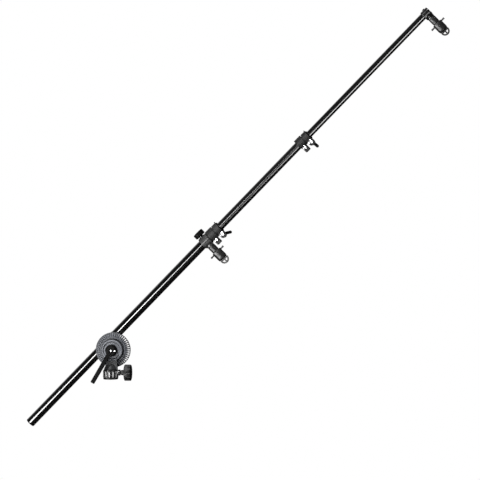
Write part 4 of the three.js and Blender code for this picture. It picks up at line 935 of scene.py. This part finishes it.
def lock_collar(name, place, radius):
    bore = radius + 0.3
    thick = bore + 2.6
    thin = bore + 1.6
    sleeve = turned(name, [
        (0, place), (bore + 0.8, place), (bore + 0.9, place + 2), (thick, place + 2.8),
        (thick, place + 19.2), (thick - 0.8, place + 20.6), (thin - 0.4, place + 21.4),
        (thin, place + 22.4), (thin, place + 34.4), (thin - 0.6, place + 35), (0, place + 35),
    ], "x")
    lower_ear = rounded(block("lower_ear", (place + 3, -7.9, -radius - 16),
                              (place + 15, 7.9, 0)), 1.2)
    upper_ear = block("upper_ear", (place + 21.2, -7.9, -radius - 9), (place + 34.8, 7.9, 0))
    upper_end = rod("upper_end", 6.9, -7.9, 7.9, "y", (place + LEVER_BOLT, 0, -radius - 8.5))
    spine = rounded(block("spine", (place + 0.3, -6, 0), (place + 20.7, 6, thick + 1.5)), 0.8)
    tab = block("tab", (place + 30.6, -5.2, 0), (place + 34.8, 5.2, thin + 4))
    edit(tab)
    pick(tab, lambda v: v.co.z > 1)
    bpy.ops.transform.resize(value=(0.2, 1, 1), center_override=(place + 34, 0, 0))
    done()
    ridge = block("ridge", (place + 20, -5.6, 0), (place + 32, -3.6, thin + 1.5))
    far_ridge = block("far_ridge", (place + 20, 3.6, 0), (place + 32, 5.6, thin + 1.5))
    collar = melted(merged(sleeve, lower_ear, upper_ear, upper_end, spine, tab, ridge,
                           far_ridge), 0.42, 3)
    grooves = [block("groove", (place - 2, -0.5, thick - 0.9), (place + 33, 0.5, 30))]
    for degrees in (26, 44, 62):
        for side in (-1, 1):
            groove = block("groove", (place + 2, -0.5, thick - 1), (place + 33, 0.5, 30))
            turn = Matrix.Rotation(math.radians(side * degrees), 4, "X")
            grooves.append(carry(groove, turn))
    grooves.append(ring("seam", bore + 0.6, 30, place + 18.8, place + 21.4, steps=96))
    pockets = [block("pocket", (place + 17.4, -20, -bore - 0.9),
                     (place + 21, 20, -radius - 25)),
               block("slit", (place - 2, -1.5, -radius - 20), (place + 37, 1.5, 0))]
    bores = [rod("tube_bore", bore, place - 3, place + 38, "x", steps=128)]
    bores += [rod("bolt_bore", 2.8, -12, 12, "y", (place + x, 0, -radius - BOLT_DROP))
              for x in (GRIP_BOLT, LEVER_BOLT)]
    return cut(collar, *grooves, *pockets, *bores)


# %% Lock bolts, nuts and lever
def hex_nut(name, start, end, at):
    nut = turned(name, [(0, start), (4.6, start), (4.6, end), (0, end)], "y", steps=6)
    bore = rod("nut_bore", 2.8, start - 2, end + 2, "y")
    return carry(cut(rounded(nut, 0.4, 2), bore), Matrix.Translation(at))


def lock_bolt(name, radius, end, at):
    return turned(name, [
        (0, -9.5), (radius * 0.34, -9.6), (radius * 0.4, -10.4), (radius - 1.2, -10.6),
        (radius - 0.4, -10.2), (radius, -9.4), (radius, -8.4), (radius - 0.2, -8.2),
        (2.5, -8.2), (2.5, end - 0.5), (2.1, end), (0, end),
    ], "y", at, steps=64)


def lock_lever(name):
    """Drawn straight down from its bolt, with a club at its end."""
    hub = rod(name, 6, 8.2, 16.2, "y", edge=0.6)
    arm = rounded(block("arm", (-3.1, 11.6, -16), (3.1, 15.8, 0)), 1.0)
    club = rounded(block("club", (-3.6, 11.3, -17), (3.6, 16.1, -6)), 1.4)
    tip = rod("tip", 3.6, 11.4, 16, "y", (0, 0, -16.8), edge=0.9)
    lever = melted(merged(hub, arm, club, tip), 0.34, 4)
    return cut(lever, rod("lever_bore", 2.8, 4, 20, "y"))


def section_lock(prefix, place, radius, inner_radius, degrees, tube_body, collar_finish):
    upper_at = (place + LEVER_BOLT, 0, -radius - BOLT_DROP)
    lower_at = (place + GRIP_BOLT, 0, -radius - BOLT_DROP)
    lever = prefix + "_lever"
    hand_over(lock_collar(prefix + "_collar_shell", place, radius), at_arm, tube_body,
              "collar_grey", collar_finish, prefix + "_collar", smooth=45)
    lining = turned(prefix + "_lining", [
        (inner_radius + 0.3, place + 18.3), (radius, place + 18.3), (radius, place + 35.2),
        (radius + 1.6, place + 35.3), (radius + 1.9, place + 35.7),
        (radius + 1.9, place + 36.3), (radius + 1.5, place + 36.7),
        (inner_radius + 0.3, place + 36.7), (inner_radius + 0.3, place + 18.3),
    ], "x", steps=128)
    cut(lining, block("lining_slot", (place, -1, -radius - 9), (place + 40, 1, 0)))
    hand_over(lining, at_arm, tube_body, "liner_plastic", BLACK_PLASTIC, prefix + "_liner")
    for part, piece in (
        ("grip_bolt", lock_bolt(prefix + "_grip_screw", 4.2, 12.2, lower_at)),
        ("lever_bolt", lock_bolt(prefix + "_lever_screw", 5.5, 19.9, upper_at)),
        ("grip_nut", hex_nut(prefix + "_grip_hex", 8.2, 12.2, lower_at)),
        ("lever_nut", hex_nut(prefix + "_lever_hex", 16.5, 19.9, upper_at)),
    ):
        hand_over(piece, at_arm, tube_body, "steel", BRIGHT_STEEL, f"{prefix}_{part}")
    at_bolt = (at_arm @ Matrix.Translation(upper_at)
               @ Matrix.Rotation(-math.radians(degrees), 4, "Y"))
    hand_over(lock_lever(lever + "_club"), at_bolt, lever, "black_plastic", BLACK_PLASTIC,
              lever, smooth=45)


section_lock("lock_1", LOCK_1_PLACE, THICK_RADIUS, MIDDLE_RADIUS, 58, "thick_tube",
             COLLAR_1_PLASTIC)
section_lock("lock_2", LOCK_2_PLACE, MIDDLE_RADIUS, THIN_RADIUS, 4, "middle_tube",
             COLLAR_2_PLASTIC)

# %% [markdown]
# ## The slider
#
# A sleeve runs on the thick tube with a plastic lining. A knob on its upper side brakes
# it, and the first clip turns on a boss on its lower side. Sleeve and bosses are melted
# together, and the bores follow.

# %% Slider
slider_axis = (SLIDER_MIDDLE, 0, 0)
slider = merged(
    turned("slider_shell", [
        (0, SLIDER_PLACE), (13.6, SLIDER_PLACE), (14.5, SLIDER_PLACE + 0.9),
        (14.5, SLIDER_END - 0.9), (13.6, SLIDER_END), (0, SLIDER_END),
    ], "x"),
    rod("knob_boss", 6.4, 0, 15.5, at=slider_axis, edge=0.5),
    rod("clip_boss", 9, -17, 0, at=slider_axis, edge=0.5),
)
melted(slider, 0.42, 4)
cut(slider,
    rod("slider_bore", 12.5, SLIDER_PLACE - 2, SLIDER_END + 3, "x", steps=128),
    rod("brake_bore", 3.3, 5, 20, at=slider_axis),
    rod("pin_bore", 3.3, -20, -5, at=slider_axis),
    rod("pin_head_room", 5.3, -14.7, -5, at=slider_axis))
hand_over(slider, at_arm, "slider", "collar_grey", SLIDER_PLASTIC, "slider_sleeve", smooth=45)
slider_lining = ring("slider_lining", 11.3, 12.2, SLIDER_PLACE, SLIDER_END)
cut(slider_lining, block("slider_slot", (SLIDER_PLACE - 1, 5, -1), (SLIDER_END + 1, 14, 1)))
hand_over(slider_lining, at_arm, "slider_liner", "liner_plastic", BLACK_PLASTIC, "slider_liner")
brake_knob = knob("slider_knob_grip", 13, 12, 1, 4.5, 12, 3.3)
at_brake = at_arm @ Matrix.Translation((SLIDER_MIDDLE, 0, 17)) @ Matrix.Rotation(
    -math.pi / 2, 4, "Y")
hand_over(brake_knob, at_brake, "slider_knob", "black_plastic", BLACK_PLASTIC, "slider_knob")
brake_screw = threaded("slider_brake_screw", 3, 14.4, 23.9, 1, at=slider_axis)
hand_over(brake_screw, at_arm, "slider_knob", "steel", BRIGHT_STEEL, "slider_screw")

# %% [markdown]
# ## The end block
#
# The thin tube ends in a short round block, which a screw holds and the second clip
# turns on. The block runs into the clip's boss in a wide fillet, with room for the lock's
# lining when the tube is pushed in.

# %% End block
end_axis = (END_CLIP_PLACE, 0, 0)
end_block = merged(
    rod("end_block_shell", 10.3, END_BLOCK_PLACE, END_BLOCK_PLACE + 19, "x", steps=96, edge=0.7),
    rod("end_boss", 9, -17, 0, at=end_axis, edge=0.5),
    turned("end_fillet", [
        (0, -5), (11.4, -5), (11.1, -7.4), (10.6, -9.4), (10, -11.2), (9.2, -13.4), (0, -13.4),
    ], "z", (END_CLIP_PLACE - 1.2, 0, 0)),
)
melted(end_block, 0.4, 8)
cut(end_block,
    block("lock_room", (END_BLOCK_PLACE - 6, -14, -12.2), (END_BLOCK_PLACE + 0.1, 14, 13)),
    rod("end_bore", 8.3, END_BLOCK_PLACE - 3, END_BLOCK_PLACE + 14.3, "x", steps=128),
    rod("end_screw_bore", 2.3, 4, 13, at=end_axis),
    rod("end_pin_bore", 3.3, -20, -4, at=end_axis),
    rod("end_pin_room", 5.3, -10.5, -4, at=end_axis))
hand_over(end_block, at_arm, "thin_tube", "collar_grey", END_PLASTIC, "end_block", smooth=45)
block_screw = turned("end_block_cap_screw", [
    (0, 11.2), (1.1, 11.1), (1.3, 11.9), (2.4, 12), (3.3, 11.2), (3.3, 10.6), (2, 10.6),
    (2, 8.3), (0, 8.3),
], at=end_axis, steps=64)
hand_over(block_screw, at_arm, "thin_tube", "dark_steel", DARK_STEEL, "end_block_screw")

# %% [markdown]
# ## The spring clips
#
# A clip is a core with a hook at its far end and a sleeve that a spring pushes up to the
# hook. A crossbar through the sleeve is pulled back with two fingers to open the mouth.
# The core's neck has shallow dents round it, and the hook is a round plate with two
# windows and a lip. Both clips are alike, so the second is a copy of the first.

# %% Clip core with its hook
hook_axis = (0, 0, 59.5)
HOOK_RADIUS = 10.9
WINDOW_RADIUS = 7.2
neck_and_core = merged(
    turned("slider_clip_hook", [
        (0, 17.3), (8.5, 17.3), (9, 17.8), (9, 31.8), (8, 33), (0, 33),
    ]),
    rod("clip_core", 5.5, 17.6, 53.6, edge=0.4),
    rod("clip_stop", 7.5, 40, 41.7),
    block("clip_stem", (-2.2, 2.3, 50.6), (2.2, 5.2, 60)),
)
hook = melted(neck_and_core, 0.34, 3)
plate = rod("hook_plate", HOOK_RADIUS, 2.3, 5.1, "y", hook_axis, steps=96, edge=0.5)
cut(plate, block("plate_end", (-12, -1, 40), (12, 8, 57.4)))
lip = rod("hook_lip", HOOK_RADIUS, -4.9, 5.1, "y", hook_axis, steps=96, edge=0.5)
cut(lip, block("lip_room", (-12, -9, 40), (12, 9, 67.6)))
joined(plate, lip)
for side in (-1, 1):
    window = rod("window", WINDOW_RADIUS, -1, 8, "y", hook_axis, steps=96)
    cut(window, block("rib_room", (-10 * (side > 0) - 1.6, -2, 40),
                      (10 * (side < 0) + 1.6, 9, 80)),
        block("low_room", (-12, -2, 40), (12, 9, 61.1)),
        block("high_room", (-12, -2, 66.4), (12, 9, 80)))
    cut(plate, window)
joined(hook, plate)
dent = rod("dent", 1.7, -2.4, 2.4, "y", edge=0.7)
carry(dent, Matrix.Translation((0, -9.9, 21.4)))
lower_dents = carry(copy_of(dent, "lower_dent"), Matrix.Translation((0, 0, 5.2)))
cut(hook, ring_of(dent, 8, "Z"), ring_of(lower_dents, 8, "Z", first=math.radians(22.5)),
    rod("core_pin_bore", 3.3, 10, 25.3),
    block("bar_slot", (-9.5, -2.2, 28.3), (9.5, 2.2, 39.2)))
print("hook faces:", len(hook.data.polygons))

# %% Clip sleeve and crossbar
ROUND_START = 50
SLEEVE_END = 57
sleeve_profile = [(9.3, 33.4), (10.9, 33.4), (11.7, 33.9), (12, 34.9), (12, ROUND_START)]
for i in range(1, 13):
    angle = math.pi / 2 * i / 12
    sleeve_profile.append((12 - 1.5 * (1 - math.cos(angle)),
                           ROUND_START + (SLEEVE_END - 0.4 - ROUND_START) * math.sin(angle)))
sleeve_profile += [(10.1, SLEEVE_END), (5.8, SLEEVE_END), (5.8, 55.3), (7.8, 55.3),
                   (7.8, 39.8), (9.3, 39.8), (9.3, 33.4)]
clip_sleeve = turned("slider_clip_sleeve_shell", sleeve_profile, steps=128)
finger_grooves = [turned("finger_groove", [
    (11.75, z), (12.6, z - 0.5), (12.6, z + 1.3), (11.75, z + 0.8), (11.75, z),
]) for z in (42.5, 44.7, 46.9)]
cut(clip_sleeve, *finger_grooves, rod("bar_bore", 2.2, -15, 15, "x", (0, 0, 37)),
    block("stem_room", (-2.5, 1.9, 55), (2.5, 5.5, 63)))
crossbar = turned("slider_clip_bar", [
    (0, -20.5), (1.8, -20.5), (2.3, -20), (2.3, -18), (1.9, -17.4), (1.9, 17.4), (2.3, 18),
    (2.3, 20), (1.8, 20.5), (0, 20.5),
], "x", (0, 0, 37), steps=64)
print("sleeve faces:", len(clip_sleeve.data.polygons))

# %% Both clips
clip_parts = (
    (hook, "hook", "", "black_plastic", CLIP_PLASTIC, "clip_core"),
    (clip_sleeve, "sleeve_shell", "_sleeve", "clip_grey", CLIP_PLASTIC, "clip_sleeve"),
    (crossbar, "bar", "_sleeve", "dark_steel", DARK_STEEL, "clip_crossbar"),
)
for piece, word, suffix, slot, finish, node in clip_parts:
    twin = copy_of(piece, "end_clip_" + word)
    hand_over(piece, at_slider_clip, "slider_clip" + suffix, slot, finish, "slider_" + node,
              smooth=40)
    hand_over(twin, at_end_clip, "end_clip" + suffix, slot, finish, "end_" + node, smooth=40)

# %% [markdown]
# ## Clip springs
#
# The coil inside a clip's sleeve is measured well, so its mesh is copied and merged. Unlike
# the other pieces it grows shorter when the sleeve is pulled back, and the length of that
# pull is printed.

# %% Coils
SPRING_START = 42
SPRING_LENGTH = 13
for prefix, at_clip in (("slider", at_slider_clip), ("end", at_end_clip)):
    node = prefix + "_clip_spring"
    measured = bpy.data.objects[node]
    coil = bpy.data.objects.new(prefix + "_clip_coil", measured.data.copy())
    bpy.context.collection.objects.link(coil)
    carry(coil, measured.matrix_world.copy())
    close_seams(coil, 0.000001)
    hand_over(coil, Matrix.Identity(4), prefix + "_clip", "steel", BRIGHT_STEEL, node)
    pull = [j for j in frame["joints"] if j["name"] == prefix + "_clip_pull"][0]
    travel = max(pull["range_m"]) * 1000
    at_clip.to_3x3() @ Vector((0, 0, 1))
    at_clip @ Vector((0, 0, SPRING_START))
    1 - travel / SPRING_LENGTH
    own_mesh(coil)
    print(node, "shortens by", round(travel, 1), "mm")

# %% [markdown]
# ## Inner pieces
#
# Pads, bushes, pins and springs are hardly seen, and their measured shapes are right, so
# they stay as they are and only get their finish.

# %% Finishes of the inner pieces
INNER_FINISHES = {
    "socket_clamp_pad": BRIGHT_STEEL, "tilt_release_spring": BRIGHT_STEEL,
    "tube_2_guide_bush": LINER_PLASTIC, "tube_3_guide_bush": LINER_PLASTIC,
    "slider_pad": RUBBER, "slider_clip_pin": DARK_STEEL, "end_clip_pin": DARK_STEEL,
}
for node, finish in INNER_FINISHES.items():
    for slot in bpy.data.objects[node].material_slots:
        slot.material = finish
print("inner pieces:", len(INNER_FINISHES))

# %% [markdown]
# ## Floor
#
# The floor is pale and far below. It glows just enough for the camera to look white, and
# still keeps the shadow of the arm. The world is white to the camera, dim to surfaces that
# it lights, and in reflections it is bright only at the upper left.

# %% Floor and world
bpy.ops.object.select_all(action="DESELECT")
bpy.ops.mesh.primitive_plane_add(size=3, location=(LOOK_AT.x, 0, cad_box[0][2] - FLOOR_DROP))
floor = bpy.context.object
floor.name = "studio_floor"
floor_finish = Finish("pale_floor")
is_seen = floor_finish.add("ShaderNodeLightPath", output="Is Camera Ray")
grain = floor_finish.noise(6, 3)
floor_finish.set(Base_Color=floor_finish.mix(grain, grey(0.84), grey(0.88)), Roughness=0.9,
                 Emission_Color=floor_finish.mix(is_seen, grey(0), grey(1)),
                 Emission_Strength=0.45)
floor.data.materials.append(floor_finish.material)
floor.visible_glossy = False
print("floor at", round(floor.location.z, 2))

SKY_BAND = (0.78, 1.0)
SKY_LEVEL = 0.9
DARK_LEVEL = 0.015
FILL_LEVEL = 0.14
world = bpy.data.worlds.new("studio")
bpy.context.scene.world = world
world.use_nodes = True
world.node_tree.nodes.clear()
studio = Nodes(world.node_tree)
seen = studio.add("ShaderNodeLightPath", output="Is Camera Ray")
through = studio.add("ShaderNodeLightPath", output="Is Transmission Ray")
glossy = studio.add("ShaderNodeLightPath", output="Is Glossy Ray")
sky_direction = studio.add("ShaderNodeTexCoord", output="Generated")
towards_upper_left = studio.vectors("DOT_PRODUCT", sky_direction, UPPER_LEFT, "Value")
sky = studio.between(towards_upper_left, *SKY_BAND)
plain = studio.maths("MAXIMUM", seen, through)
dim = glossy * (sky * SKY_LEVEL + DARK_LEVEL) + (1 - glossy) * FILL_LEVEL
background = studio.add("ShaderNodeBackground", {}, {
    "Color": grey(1), "Strength": plain + (1 - plain) * dim})
world_output = world.node_tree.nodes.new("ShaderNodeOutputWorld")
studio.feed(world_output.inputs["Surface"], background)

# %% [markdown]
# ## Colour and size
#
# The view transform is set to Standard, and the size of the measured frame is printed.

# %% Sizes and finish
bpy.context.scene.view_settings.view_transform = "Standard"
print("measured:", cad_box)
